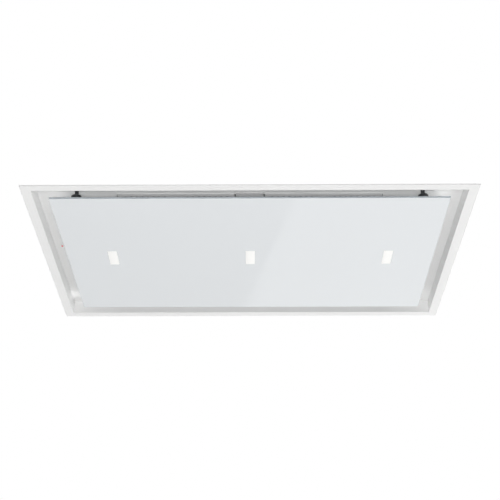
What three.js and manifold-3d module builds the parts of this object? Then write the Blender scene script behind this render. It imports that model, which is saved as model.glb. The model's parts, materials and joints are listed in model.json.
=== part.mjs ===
// Ceiling range hood with perimeter suction. A white steel frame sits in a cut-out in the ceiling, and
// a white glass panel with three lamps hangs flush in it, leaving an air gap all round. Air goes round
// the panel, up through two grease filters in the roof of the recess, into a centrifugal blower in the
// casing above the ceiling, and out sideways through a duct spigot with a butterfly damper.
// The panel is held at its front edge by two studs on magnets, and swings down on hinges at the back.
//
// Millimetres. +Z is up. The origin is the centre of the cut-out in the plane of the finished ceiling,
// which is the plane of the frame flange's upper face. +X runs along the hood and -Y is the front.

import * as THREE from "three";
import { mergeVertices } from "three/addons/utils/BufferGeometryUtils.js";
import Module from "manifold-3d";

// ---------------------------------------------------------------- driving dimensions

const seatGap = 0.3; // left between two pieces that touch

// frame and recess
const frameWidth = 900;
const frameDepth = 600;
const flangeWidth = 20;
const flangeThickness = 2.5; // a hemmed edge
const frameSheet = 1.5;
const recessDepth = 31; // from the flange's lower face to the roof of the recess
const traySheet = 1.2;

// glass panel
const suctionGap = 30; // between the flange and the panel, on all four sides
const glassThickness = 4;
const glassSetback = 0.6; // the glass lies this much above the flange's lower face
const glassCornerRadius = 2;

// lamps
const lampInset = 100; // from the glass's ends to the outer lamps' middle
const lampWidth = 20;
const lampLength = 60;
const lampFlange = 3;
const lampFlangeThickness = 1.2;
const lampBodyWall = 1.6;
const lampBodyHeight = 9;
const lampFinHeight = 4;
const lampFinThickness = 1.6;
const lampFinPitch = 9;

// carrier plate behind the glass
const carrierInsetX = 50; // from the glass's edges
const carrierInsetY = 60;
const carrierSheet = 1.2;
const carrierRim = 8;
const carrierWeb = 40; // between the lamps and the large windows
const carrierBorder = 50; // from the large windows to the carrier's long edges

// studs and magnets at the panel's front edge
const studInsetX = 53; // from the glass's edges to the stud's axis
const studInsetY = 12;
const studBaseRadius = 11.2;
const studShoulderRadius = 10.6;
const studShoulderHeight = 7; // from the glass to where the foot starts to narrow
const studFlareHeight = 5.6; // from the shoulder to the stem
const studStemRadius = 4;
const studTipRadius = 4.6;
const studTipChamfer = 0.5;
const studHoleRadius = 7.5;
const studReach = 4; // how far the tip stands above the tray's lower face
const magnetRadius = 6;
const magnetCatchWidth = 34;
const magnetCatchDepth = 24;
const magnetCatchHeight = 12;
const magnetCatchRoof = 2;

// hinges at the panel's back edge
const hingePinRadius = 3;
const hingeInsetX = 80; // from the glass's edges to the hinge's middle and the pin's axis
const hingeInsetY = 10;
const hingeRise = 11.9; // from the glass's upper face to the pin's axis
const knuckleRadius = 6;
const knuckleWidth = 24;
const hingeSheet = 2;
const hingeFootLength = 42;
const hingeCheekRadius = 8;

// grease filters
const filterInsetX = 129.6; // from the glass's edges to the opening for the filters
const filterInsetY = 33.4;
const filterThickness = 12;
const filterSheet = 1;
const filterLip = 7;
const filterEdgeGap = 1.6; // between a filter and the edge of the opening in the tray
const slotWidth = 4;
const slotPitch = 11.5;
const slotRows = 2;
const slotBridge = 12;
const slotMargin = 1; // from the channel's lip to the slots' ends
const pleatPitch = 12;
const pleatSheet = 0.8;
const pleatLatchGap = 2; // round the latch, at both ends of its travel
const filterTabWidth = 30;
const filterTabReach = 8;

// filter latch
const latchWidth = 40;
const latchLength = 30;
const latchThickness = 2;
const latchTongueWidth = 24;
const latchTongueReach = 8;
const latchNoseLength = 2; // the tongue's turned-down end, which rests on the tray
const latchTravel = 7;
const latchGripWidth = 20;
const latchGripThickness = 4;
const latchGripDrop = 2;

// bar between the filters
const dividerWidth = 56;
const dividerThickness = 2.4;
const dividerGap = 2.8;
const dividerOverlap = 3.5; // how far its ends lap under the tray
const dividerWebHeight = 9;
const dividerWebSheet = 1.2;

// casing above the ceiling
const casingMargin = 13.5; // from the tray's opening to the casing's outer face
const casingSheet = 1.2;
const casingFlange = 12;
const plenumHeight = 40;
const shelfSheet = 1.2;
const shelfRim = 10;
const shelfInletMargin = 4; // how much wider the shelf's hole is than the scroll's inlet
const lidSwageMargin = 60;
const lidSwageHeight = 3;
const lidSwageSlope = 8;
const lidHeadroom = 4;

// hanging brackets
const hangerInset = 63.9; // from the casing's ends to the bracket's middle
const hangerWidth = 44;
const hangerSheet = 2;
const hangerDrop = 86;
const hangerReach = 40;
const hangerRodHoleRadius = 4.5;
const hangerSlotLength = 30;
const hangerSlotRadius = 3;

// blower
const spigotDiameter = 150; // outside, for a 150 mm duct
const spigotWall = 2;
const spigotLength = 52;
const spigotFlange = 13;
const spigotFlangeThickness = 2.5;
const spigotBeadInset = 10; // from the spigot's end to the bead's middle
const spigotBeadRadius = 1.5;
const scrollWall = 2;
const ductMargin = 1; // how far the scroll's mouth stands back from the spigot's bore
const fanX = -60;
const fanY = 20;
const impellerRadius = 100;
const impellerEyeRadius = 84;
const bladeCount = 36;
const bladeThickness = 1.2;
const bladeSweep = 11; // degrees, forward in the direction of rotation
const impellerPlate = 3;
const impellerRimOverhang = 1.5; // past the blades
const impellerRingWidth = 10; // of the ring that ties the blades at the eye
const impellerCupWall = 2.5;
const impellerBossWall = 6;
const impellerBossDrop = 10; // below the floor of the hub cup
const impellerFloorClearance = 14;
const impellerRoofClearance = 14;
const scrollCutoff = 10; // between the impeller and the scroll's tongue
const scrollExpansion = 62;
const coverSheet = 1.2;
const coverMotorGap = 6;
const gasketThickness = 3;
const bellmouthThroatRadius = 78;
const bellmouthSheet = 1.2;
const bellmouthRadius = 12;
const bellmouthCollar = 6; // the straight part that enters the impeller's eye
const bellmouthFlange = 12;

// motor
const motorRadius = 48;
const motorHeight = 66;
const hubClearance = 8;
const shaftRadius = 3;
const shaftProud = 2; // below the impeller's boss
const motorArmReach = 26;
const motorArmWidth = 18;
const motorBracketSheet = 2.5;
const motorBracketEyeRadius = 14.4;
const bushRadius = 8;
const bushHeight = 4;
const bushWaistDepth = 1.5;
const bushHoleRadius = 2;

// damper in the spigot
const damperPinRadius = 2;
const damperSheet = 1.5;
const damperEdgeGap = 1.5;
const damperKnuckleRadius = 3.8;
const damperPinInset = 10; // from the spigot's flange to the pin's axis
const damperStopWidth = 3;

// electrical
const controlBoxWidth = 180;
const controlBoxHeight = 92;
const controlBoxDepth = 56;
const controlBoxWall = 2;
const controlBoxBottom = 96; // above the tray
const boardThickness = 1.6;
const boardMargin = 8;
const standoffHeight = 5;
const standoffRadius = 3;
const standoffInset = 4; // from the board's edges
const capacitorRadius = 15;
const capacitorLength = 60;
const capacitorInset = 8; // from the board's front end
const capacitorLift = 12; // above the middle of the board
const terminalBlockSize = [16, 46, 18];
const terminalBlockInset = 10; // from the board's back end
const terminalPoles = 4;
const glandBoreRadius = 5;
const glandThreadRadius = 10;
const glandThreadLength = 10; // inside the wall
const glandNutRadius = 14;
const glandBodyLength = 6;
const glandNutLength = 8;
const glandDomeLength = 6;
const glandLocknutLength = 5;
const driverSize = [96, 42, 24];
const driverEar = [8, 10.5, 2];
const driverEarHoleRadius = 2;
const driverInset = [70, 130]; // from the recess's left and back walls to its middle
const receiverInset = 15; // from the flange's inner edge
const receiverSize = [20, 34, 12];
const receiverShift = 4; // from the lens to the housing's middle
const indicatorRadius = 2.2;
const indicatorProud = 1;

// ---------------------------------------------------------------- levels and places worked out

const flangeBottom = -flangeThickness;
const openingHalfX = frameWidth / 2 - flangeWidth;
const openingHalfY = frameDepth / 2 - flangeWidth;
const roofZ = flangeBottom + recessDepth;
const trayTop = roofZ + traySheet;

const glassHalfX = openingHalfX - suctionGap;
const glassHalfY = openingHalfY - suctionGap;
const glassBottom = flangeBottom + glassSetback;
const glassTop = glassBottom + glassThickness;
const onGlass = glassTop + seatGap;

const lampX = glassHalfX - lampInset;

const studX = glassHalfX - studInsetX;
const studY = -glassHalfY + studInsetY;
const hingeX = glassHalfX - hingeInsetX;
const hingeY = glassHalfY - hingeInsetY;
const hingeZ = glassTop + hingeRise;

const filterBoreHalfX = glassHalfX - filterInsetX;
const filterBoreHalfY = glassHalfY - filterInsetY;
const filterWidth = filterBoreHalfX - filterEdgeGap - dividerWidth / 2 - dividerGap;
const filterDepth = 2 * (filterBoreHalfY - filterEdgeGap);
const filterX = dividerWidth / 2 + dividerGap + filterWidth / 2;
const filterTop = roofZ + filterThickness;

const casingHalfX = filterBoreHalfX + casingMargin;
const casingHalfY = filterBoreHalfY + casingMargin;
const casingBottom = trayTop + seatGap;
const shelfZ = casingBottom + plenumHeight;
const scrollBottom = shelfZ + shelfSheet + seatGap;
const ductWidth = spigotDiameter - 2 * spigotWall + 2 * ductMargin;
const scrollHeight = ductWidth + 2 * scrollWall;
const scrollTop = scrollBottom + scrollHeight;
const coverTop = scrollTop + seatGap + coverSheet;
const bushBottom = coverTop + seatGap;
const motorBracketZ = bushBottom + bushHeight + seatGap;
const casingTop = motorBracketZ + motorBracketSheet + lidHeadroom;
const motorTop = motorBracketZ - seatGap;
const motorBottom = motorTop - motorHeight;

const scrollStartRadius = impellerRadius + scrollCutoff;
const scrollEndRadius = scrollStartRadius + scrollExpansion;
const inletHoleRadius = bellmouthThroatRadius + bellmouthRadius + bellmouthSheet;
const ductY = fanY - scrollEndRadius + ductWidth / 2;
const ductZ = scrollBottom + scrollHeight / 2;
const ductEndX = casingHalfX - casingSheet - seatGap - gasketThickness - seatGap;

const spigotOuter = spigotDiameter / 2;
const spigotBore = spigotOuter - spigotWall;
const spigotFace = casingHalfX + seatGap;

// ---------------------------------------------------------------- solids and shapes

const overshoot = 1; // how far a cutting solid runs past the faces that it cuts

const wasm = await Module();
wasm.setup();

// A closed three.js geometry as a solid that can be joined and cut.
function toSolid(geometry) {
  const bare = new THREE.BufferGeometry();
  bare.setAttribute("position", geometry.getAttribute("position"));
  if (geometry.index) bare.setIndex(geometry.index);
  const merged = mergeVertices(bare, 1e-4);
  return new wasm.Manifold(new wasm.Mesh({
    numProp: 3,
    vertProperties: merged.attributes.position.array,
    triVerts: new Uint32Array(merged.index.array),
  }));
}

function toGeometry(solid) {
  const { vertProperties, triVerts } = solid.getMesh();
  const geometry = new THREE.BufferGeometry();
  geometry.setAttribute("position", new THREE.BufferAttribute(vertProperties, 3));
  geometry.setIndex(new THREE.BufferAttribute(triVerts, 1));
  const flat = geometry.toNonIndexed();
  flat.computeVertexNormals();
  return flat;
}

function join(first, ...rest) {
  return toGeometry(rest.reduce((sum, g) => sum.add(toSolid(g)), toSolid(first)));
}

function cut(first, ...rest) {
  return toGeometry(rest.reduce((sum, g) => sum.subtract(toSolid(g)), toSolid(first)));
}

function block([x0, x1], [y0, y1], [z0, z1]) {
  const geometry = new THREE.BoxGeometry(x1 - x0, y1 - y0, z1 - z0);
  return geometry.translate((x0 + x1) / 2, (y0 + y1) / 2, (z0 + z1) / 2);
}

function polygon(points) {
  return new THREE.Shape(points.map(([x, y]) => new THREE.Vector2(x, y)));
}

function rectangle(halfX, halfY, centreX = 0, centreY = 0) {
  return polygon([
    [centreX - halfX, centreY - halfY],
    [centreX + halfX, centreY - halfY],
    [centreX + halfX, centreY + halfY],
    [centreX - halfX, centreY + halfY],
  ]);
}

function roundedRectangle(halfX, halfY, radius) {
  const shape = new THREE.Shape();
  shape.absarc(halfX - radius, -halfY + radius, radius, -Math.PI / 2, 0);
  shape.absarc(halfX - radius, halfY - radius, radius, 0, Math.PI / 2);
  shape.absarc(-halfX + radius, halfY - radius, radius, Math.PI / 2, Math.PI);
  shape.absarc(-halfX + radius, -halfY + radius, radius, Math.PI, 1.5 * Math.PI);
  return shape;
}

// A slot with round ends, lying along the second axis.
function slot(centreX, centreY, radius, length) {
  const straight = length / 2 - radius;
  const shape = new THREE.Shape();
  shape.absarc(centreX, centreY + straight, radius, 0, Math.PI);
  shape.absarc(centreX, centreY - straight, radius, Math.PI, 2 * Math.PI);
  return shape;
}

function circle(radius, centreX = 0, centreY = 0) {
  return new THREE.Shape().absarc(centreX, centreY, radius, 0, 2 * Math.PI);
}

function pierced(shape, holes) {
  shape.holes.push(...holes);
  return shape;
}

// A shape drawn in plan, from z0 up to z1, with its holes cut through.
function upright(shape, z0, z1, curveSegments = 12) {
  const extruded = (outline, from, to) => {
    const solidOutline = new THREE.Shape(outline.getPoints(curveSegments));
    const options = { depth: to - from, bevelEnabled: false };
    return new THREE.ExtrudeGeometry(solidOutline, options).translate(0, 0, from);
  };
  const whole = extruded(shape, z0, z1);
  if (shape.holes.length === 0) return whole;
  return cut(whole, ...shape.holes.map((hole) => extruded(hole, z0 - overshoot, z1 + overshoot)));
}

// A shape drawn in the Y-Z plane, from x0 to x1.
function alongX(shape, x0, x1, curveSegments = 12) {
  const turn = new THREE.Matrix4().makeBasis(
    new THREE.Vector3(0, 1, 0),
    new THREE.Vector3(0, 0, 1),
    new THREE.Vector3(1, 0, 0),
  );
  return upright(shape, x0, x1, curveSegments).applyMatrix4(turn);
}

// A shape drawn in the X-Z plane, from y0 to y1.
function alongY(shape, y0, y1, curveSegments = 12) {
  return upright(shape, -y1, -y0, curveSegments).rotateX(Math.PI / 2);
}

// A closed profile of [radius, height] points, anticlockwise, turned about the Z axis.
function turned(profile, segments = 36) {
  const closed = [...profile, profile[0]].map(([r, z]) => new THREE.Vector2(r, z));
  return new THREE.LatheGeometry(closed, segments).rotateX(Math.PI / 2);
}

// A turned piece moved so that its axis runs along X through (y, z).
function turnedAlongX(profile, y, z, segments = 36) {
  return turned(profile, segments).rotateY(Math.PI / 2).translate(0, y, z);
}

// Points on an arc in [radius, height] or any other plane, from one angle to another in degrees.
function arcPoints(centreX, centreY, radius, from, to, steps) {
  return Array.from({ length: steps + 1 }, (_, i) => {
    const angle = THREE.MathUtils.degToRad(from + ((to - from) * i) / steps);
    return [centreX + radius * Math.cos(angle), centreY + radius * Math.sin(angle)];
  });
}

// ---------------------------------------------------------------- materials

const paintedWhite = new THREE.MeshStandardMaterial({ color: 0xebebeb, roughness: 0.45, metalness: 0 });
const glassWhite = new THREE.MeshStandardMaterial({ color: 0xe4e8ec, roughness: 0.05, metalness: 0 });
const galvanised = new THREE.MeshStandardMaterial({ color: 0xb4b8ba, roughness: 0.4, metalness: 0.9 });
const stainless = new THREE.MeshStandardMaterial({ color: 0xa9abad, roughness: 0.35, metalness: 0.9 });
const aluminiumMesh = new THREE.MeshStandardMaterial({ color: 0x9a9c9e, roughness: 0.5, metalness: 0.9 });
const blackPlastic = new THREE.MeshStandardMaterial({ color: 0x2b2b2d, roughness: 0.5, metalness: 0 });
const greyPlastic = new THREE.MeshStandardMaterial({ color: 0x6f7275, roughness: 0.6, metalness: 0 });
const whitePlastic = new THREE.MeshStandardMaterial({ color: 0xdedfe0, roughness: 0.5, metalness: 0 });
const lensWhite = new THREE.MeshStandardMaterial({
  color: 0xffffff, roughness: 0.3, metalness: 0, emissive: 0xfffdf8,
});
const redLens = new THREE.MeshStandardMaterial({ color: 0xb0202a, roughness: 0.3, metalness: 0 });
const castAluminium = new THREE.MeshStandardMaterial({ color: 0x8f9295, roughness: 0.6, metalness: 0.8 });
const rubber = new THREE.MeshStandardMaterial({ color: 0x1c1c1c, roughness: 0.9, metalness: 0 });
const circuitGreen = new THREE.MeshStandardMaterial({ color: 0x1f5a3a, roughness: 0.5, metalness: 0 });
const foam = new THREE.MeshStandardMaterial({ color: 0x3a3a3a, roughness: 1, metalness: 0 });

const hood = new THREE.Group();

function place(name, geometry, material) {
  const mesh = new THREE.Mesh(geometry, material);
  mesh.name = name;
  hood.add(mesh);
}

// ---------------------------------------------------------------- frame and tray

// Folded steel frame: a flat flange under the ceiling and a wall that goes up into the cut-out.
function ceilingFrame() {
  const wallOuter = [openingHalfX + frameSheet, openingHalfY + frameSheet];
  const opening = () => rectangle(openingHalfX, openingHalfY);
  const flange = pierced(rectangle(frameWidth / 2, frameDepth / 2), [opening()]);
  const wall = pierced(rectangle(...wallOuter), [opening()]);
  return join(upright(flange, flangeBottom, 0), upright(wall, flangeBottom, roofZ - seatGap));
}

// Roof of the recess, with the opening for the filters and holes for the studs and the indicator.
function tray() {
  const outline = rectangle(openingHalfX + frameSheet, openingHalfY + frameSheet);
  const holes = [
    rectangle(filterBoreHalfX, filterBoreHalfY),
    circle(studHoleRadius, -studX, studY),
    circle(studHoleRadius, studX, studY),
    circle(indicatorRadius + seatGap, -openingHalfX + receiverInset, 0),
  ];
  return upright(pierced(outline, holes), roofZ, trayTop, 8);
}

// ---------------------------------------------------------------- glass panel and its lamps

function lampPlaces() {
  return [["left", -lampX], ["centre", 0], ["right", lampX]];
}

// Toughened glass, with a rectangular window for each lamp.
function glassPanel() {
  const windows = lampPlaces().map(([, x]) =>
    rectangle(lampWidth / 2 + seatGap, lampLength / 2 + seatGap, x, 0));
  const outline = pierced(roundedRectangle(glassHalfX, glassHalfY, glassCornerRadius), windows);
  return upright(outline, glassBottom, glassTop, 4);
}

// Frosted lamp lens: a plug that fills the window flush with the glass, and a flange that rests on it.
function lampLens(x) {
  const plug = upright(rectangle(lampWidth / 2, lampLength / 2, x, 0), glassBottom,
    onGlass + lampFlangeThickness / 2);
  const flange = rectangle(lampWidth / 2 + lampFlange, lampLength / 2 + lampFlange, x, 0);
  return join(plug, upright(flange, onGlass, onGlass + lampFlangeThickness));
}

// Die-cast lamp body over the lens: open below, with cooling fins on top.
function lampBody(x) {
  const halfX = lampWidth / 2 + lampFlange + seatGap + lampBodyWall;
  const halfY = lampLength / 2 + lampFlange + seatGap + lampBodyWall;
  const bottom = onGlass;
  const top = bottom + lampBodyHeight;
  const shell = upright(rectangle(halfX, halfY, x, 0), bottom, top);
  const cavity = upright(rectangle(halfX - lampBodyWall, halfY - lampBodyWall, x, 0),
    bottom - overshoot, top - lampBodyWall);
  const finCount = 2 * Math.floor((halfY - lampFinThickness) / lampFinPitch) + 1;
  const fins = Array.from({ length: finCount }, (_, i) => {
    const y = (i - (finCount - 1) / 2) * lampFinPitch;
    return block([x - halfX, x + halfX], [y - lampFinThickness / 2, y + lampFinThickness / 2],
      [top - lampBodyWall / 2, top + lampFinHeight]);
  });
  return join(cut(shell, cavity), ...fins);
}

// Pressed steel plate bonded behind the glass, with an upturned rim. The lamps stand in its windows.
function panelCarrier() {
  const halfX = glassHalfX - carrierInsetX;
  const halfY = glassHalfY - carrierInsetY;
  const lampHalfX = lampWidth / 2 + lampFlange + lampBodyWall + 2 * seatGap;
  const lampHalfY = lampLength / 2 + lampFlange + lampBodyWall + 2 * seatGap;
  const lampWindows = lampPlaces().map(([, x]) => rectangle(lampHalfX, lampHalfY, x, 0));
  const largeWindows = [-1, 1].map((side) =>
    rectangle(lampX / 2 - lampHalfX - carrierWeb, halfY - carrierBorder, (side * lampX) / 2, 0));
  const plate = pierced(rectangle(halfX, halfY), [...lampWindows, ...largeWindows]);
  const rim = pierced(rectangle(halfX, halfY), [rectangle(halfX - carrierSheet, halfY - carrierSheet)]);
  return join(
    upright(plate, onGlass, onGlass + carrierSheet),
    upright(rim, onGlass, onGlass + carrierRim),
  );
}

// Black stud bonded to the glass by a bell-shaped foot. Its steel tip reaches up to the magnet.
function latchStud(x) {
  const shoulderZ = onGlass + studShoulderHeight;
  const flareTop = shoulderZ + studFlareHeight;
  const tipZ = roofZ + studReach;
  const flareSteps = 6;
  const flare = Array.from({ length: flareSteps + 1 }, (_, i) => {
    const share = i / flareSteps;
    const bell = (1 + Math.cos(Math.PI * share)) / 2;
    const radius = studStemRadius + (studShoulderRadius - studStemRadius) * bell;
    return [radius, shoulderZ + studFlareHeight * share];
  });
  const stemTop = flareTop + (tipZ - flareTop) / 2;
  const profile = [
    [0, onGlass],
    [studBaseRadius, onGlass],
    ...flare,
    [studTipRadius, stemTop],
    [studTipRadius, tipZ - studTipChamfer],
    [studTipRadius - studTipChamfer, tipZ],
    [0, tipZ],
  ];
  const outline = profile.map(([r, z]) => new THREE.Vector2(r, z));
  return new THREE.LatheGeometry(outline, 16).rotateX(Math.PI / 2).translate(x, studY, 0);
}

// Plastic box on the tray with a magnet set in its roof, just above the stud's tip.
function magnetCatch(x) {
  const top = casingBottom + magnetCatchHeight;
  const shell = block([x - magnetCatchWidth / 2, x + magnetCatchWidth / 2],
    [studY - magnetCatchDepth / 2, studY + magnetCatchDepth / 2], [casingBottom, top]);
  const pocketTop = roofZ + studReach + seatGap;
  const well = upright(circle(studHoleRadius, x, studY), casingBottom - overshoot,
    top - magnetCatchRoof, 8);
  const magnet = upright(circle(magnetRadius, x, studY), pocketTop, top - magnetCatchRoof / 2, 8);
  return join(cut(shell, well), magnet);
}

// ---------------------------------------------------------------- hinges

function hingePlaces() {
  return [["left", -hingeX], ["right", hingeX]];
}

// Pressed foot bonded to the glass, curling up into a knuckle on the pin.
function hingeArm(x) {
  const footBottom = onGlass;
  const footTop = footBottom + hingeSheet;
  const footBack = hingeY - knuckleRadius;
  const footFront = footBack - hingeFootLength;
  const outline = polygon([
    [footFront, footBottom],
    [footBack, footBottom],
    [hingeY + knuckleRadius * 0.6, hingeZ - knuckleRadius * 0.8],
    ...arcPoints(hingeY, hingeZ, knuckleRadius, -40, 180, 11),
    [hingeY - knuckleRadius, footTop + knuckleRadius * 0.6],
    [hingeY - knuckleRadius * 1.6, footTop],
    [footFront, footTop],
  ]);
  const bore = circle(hingePinRadius + seatGap, hingeY, hingeZ);
  return alongX(pierced(outline, [bore]), x - knuckleWidth / 2, x + knuckleWidth / 2, 10);
}

// U-shaped bracket under the tray, with a cheek on each side of the knuckle.
function hingeBracket(x) {
  const baseTop = roofZ - seatGap;
  const baseBottom = baseTop - hingeSheet;
  const inner = knuckleWidth / 2 + 2 * seatGap;
  const outer = inner + hingeSheet;
  const base = block([x - outer, x + outer], [hingeY - 2 * hingeCheekRadius, hingeY + hingeCheekRadius],
    [baseBottom, baseTop]);
  const cheekOutline = polygon([
    ...arcPoints(hingeY, hingeZ, hingeCheekRadius, 180, 360, 10),
    [hingeY + hingeCheekRadius, baseTop - hingeSheet / 2],
    [hingeY - 2 * hingeCheekRadius, baseTop - hingeSheet / 2],
  ]);
  const cheek = pierced(cheekOutline, [circle(hingePinRadius + seatGap, hingeY, hingeZ)]);
  return join(base, alongX(cheek, x - outer, x - inner, 10), alongX(cheek, x + inner, x + outer, 10));
}

// Headed pin through the cheeks and the knuckle.
function hingePin(x) {
  const reach = knuckleWidth / 2 + 3 * seatGap + hingeSheet;
  const headThickness = 1.6;
  const headRadius = hingePinRadius + headThickness;
  const profile = [
    [0, -reach - headThickness],
    [headRadius, -reach - headThickness],
    [headRadius, -reach],
    [hingePinRadius, -reach],
    [hingePinRadius, reach + headThickness],
    [0, reach + headThickness],
  ];
  const outline = profile.map(([r, z]) => new THREE.Vector2(r, z));
  const pin = new THREE.LatheGeometry(outline, 14).rotateX(Math.PI / 2).rotateY(Math.PI / 2);
  return pin.translate(x, hingeY, hingeZ);
}

// ---------------------------------------------------------------- grease filters

const filterFaceZ = roofZ + filterSheet + seatGap;
const latchZ = filterFaceZ + filterSheet + seatGap;
const latchFront = -filterDepth / 2 + filterSheet + 2 * seatGap;
const latchBack = latchFront + latchLength;
const latchGripY = latchFront + latchLength / 2;

// Folded channel round the filter, with tabs at the back that rest on the tray, and a window at the
// front for the latch's tongue.
function filterFrame(x) {
  const halfX = filterWidth / 2;
  const halfY = filterDepth / 2;
  const ring = (width) => pierced(rectangle(halfX, halfY, x, 0),
    [rectangle(halfX - width, halfY - width, x, 0)]);
  const tabs = [-1, 1].map((side) => {
    const tabX = x + (side * filterWidth) / 4;
    return block([tabX - filterTabWidth / 2, tabX + filterTabWidth / 2],
      [halfY - filterSheet / 2, halfY + filterTabReach],
      [trayTop + seatGap, trayTop + seatGap + filterSheet]);
  });
  const window = block(
    [x - latchTongueWidth / 2 - seatGap, x + latchTongueWidth / 2 + seatGap],
    [-halfY - overshoot, -halfY + 2 * filterSheet],
    [trayTop, latchZ + latchThickness + seatGap],
  );
  const channel = join(
    upright(ring(filterLip), roofZ, roofZ + filterSheet),
    upright(ring(filterSheet), roofZ, filterTop),
    upright(ring(filterLip), filterTop - filterSheet, filterTop),
    ...tabs,
  );
  return cut(channel, window);
}

// Slotted face sheet, resting on the channel's lower lip. The latch's grip comes down through it.
function filterFace(x) {
  const halfX = filterWidth / 2 - filterSheet - seatGap;
  const halfY = filterDepth / 2 - filterSheet - seatGap;
  const openX = filterWidth - 2 * filterLip - slotPitch;
  const openY = filterDepth - 2 * (filterLip + slotMargin);
  const columns = 2 * Math.floor(openX / slotPitch / 2) + 1;
  const slotLength = (openY - (slotRows - 1) * slotBridge) / slotRows;
  const gripSlot = rectangle(latchGripWidth / 2 + seatGap,
    (latchGripThickness + latchTravel) / 2 + seatGap, x, latchGripY + latchTravel / 2);
  const keepClear = latchGripWidth / 2 + slotPitch / 2;
  const slots = [];
  for (let column = 0; column < columns; column += 1) {
    const slotX = (column - (columns - 1) / 2) * slotPitch;
    for (let row = 0; row < slotRows; row += 1) {
      const slotY = (row - (slotRows - 1) / 2) * (slotLength + slotBridge);
      const shortened = row === 0 && Math.abs(slotX) < keepClear;
      const gripSpan = latchBack + filterLip - (slotY - slotLength / 2);
      const length = shortened ? slotLength - gripSpan : slotLength;
      const centreY = shortened ? slotY + gripSpan / 2 : slotY;
      slots.push(slot(x + slotX, centreY, slotWidth / 2, length));
    }
  }
  const sheet = pierced(rectangle(halfX, halfY, x, 0), [gripSlot, ...slots]);
  return upright(sheet, filterFaceZ, filterFaceZ + filterSheet, 2);
}

// Pleated aluminium mesh pack, drawn as one folded sheet, with a notch for the latch.
function filterMesh(x) {
  const bottom = latchZ;
  const top = filterTop - filterSheet - seatGap;
  const halfX = filterWidth / 2 - filterSheet - 2 * seatGap;
  const halfY = filterDepth / 2 - filterSheet - 2 * seatGap;
  const folds = 2 * Math.floor((2 * halfX) / pleatPitch);
  const lower = [];
  const upper = [];
  for (let fold = 0; fold <= folds; fold += 1) {
    const foldX = x - halfX + (2 * halfX * fold) / folds;
    const z = fold % 2 ? top - pleatSheet : bottom;
    lower.push([foldX, z]);
    upper.unshift([foldX, z + pleatSheet]);
  }
  const notch = block(
    [x - latchWidth / 2 - pleatLatchGap, x + latchWidth / 2 + pleatLatchGap],
    [-halfY - overshoot, latchBack + latchTravel + pleatLatchGap],
    [bottom - overshoot, top + overshoot],
  );
  return cut(alongY(polygon([...lower, ...upper]), -halfY, halfY), notch);
}

// Sliding latch: a plate in the channel, a tongue whose nose rests on the tray, and a grip below.
function filterLatch(x) {
  const plate = block([x - latchWidth / 2, x + latchWidth / 2], [latchFront, latchBack],
    [latchZ, latchZ + latchThickness]);
  const tip = -filterDepth / 2 - latchTongueReach;
  const tongue = block([x - latchTongueWidth / 2, x + latchTongueWidth / 2],
    [tip, latchFront + latchThickness / 2], [latchZ, latchZ + latchThickness]);
  const nose = block([x - latchTongueWidth / 2, x + latchTongueWidth / 2],
    [tip, tip + latchNoseLength], [trayTop + seatGap, latchZ + latchThickness / 2]);
  const grip = block([x - latchGripWidth / 2, x + latchGripWidth / 2],
    [latchGripY - latchGripThickness / 2, latchGripY + latchGripThickness / 2],
    [roofZ - latchGripDrop, latchZ + latchThickness / 2]);
  return join(plate, tongue, nose, grip);
}

// Bar that covers the gap between the filters: a thick flat strip with two folded webs above it.
function filterDivider() {
  const top = roofZ - seatGap;
  const bottom = top - dividerThickness;
  const halfX = dividerWidth / 2;
  const halfY = filterBoreHalfY + dividerOverlap;
  const strip = block([-halfX, halfX], [-halfY, halfY], [bottom, top]);
  const webHalfY = filterBoreHalfY - seatGap;
  const webs = [-1, 1].map((side) => {
    const faces = [side * halfX, side * (halfX - dividerWebSheet)].sort((a, b) => a - b);
    return block(faces, [-webHalfY, webHalfY], [bottom, roofZ + dividerWebHeight]);
  });
  return join(strip, ...webs);
}

// ---------------------------------------------------------------- casing, lid, shelf and hangers

// Folded box above the tray: a foot flange below, a lip above and round holes for the duct and cable.
function casingShell() {
  const inner = [casingHalfX - casingSheet, casingHalfY - casingSheet];
  const ring = (outer, hole) => pierced(rectangle(...outer), [rectangle(...hole)]);
  const walls = ring([casingHalfX, casingHalfY], inner);
  const foot = ring([casingHalfX + casingFlange, casingHalfY + casingFlange], inner);
  const lip = ring([casingHalfX, casingHalfY],
    [casingHalfX - casingFlange, casingHalfY - casingFlange]);
  const body = join(
    upright(foot, casingBottom, casingBottom + casingSheet),
    upright(walls, casingBottom, casingTop),
    upright(lip, casingTop - casingSheet, casingTop),
  );
  const wallCut = [casingHalfX - casingSheet - overshoot, casingHalfX + overshoot];
  const ductHole = alongX(circle(spigotBore, ductY, ductZ), ...wallCut, 20);
  const cableHole = alongX(circle(glandThreadRadius, 0, controlBoxZ), -wallCut[1], -wallCut[0], 8);
  return cut(body, ductHole, cableHole);
}

// Flat lid with a pressed, raised centre that stiffens it.
function casingLid() {
  const bottom = casingTop + seatGap;
  const top = bottom + casingSheet;
  const swage = (offset, z0, z1) => {
    const foot = [casingHalfX - lidSwageMargin - offset, casingHalfY - lidSwageMargin - offset];
    const crown = foot.map((half) => half - lidSwageSlope);
    const geometry = block([-1, 1], [-1, 1], [z0, z1]);
    const position = geometry.getAttribute("position");
    for (let i = 0; i < position.count; i += 1) {
      const half = position.getZ(i) > (z0 + z1) / 2 ? crown : foot;
      position.setXY(i, position.getX(i) * half[0], position.getY(i) * half[1]);
    }
    return geometry;
  };
  const plate = upright(rectangle(casingHalfX, casingHalfY), bottom, top);
  const raised = swage(0, top - casingSheet / 2, top + lidSwageHeight);
  const hollow = swage(casingSheet, bottom - casingSheet / 2, bottom + lidSwageHeight);
  return cut(join(plate, raised), hollow);
}

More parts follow.
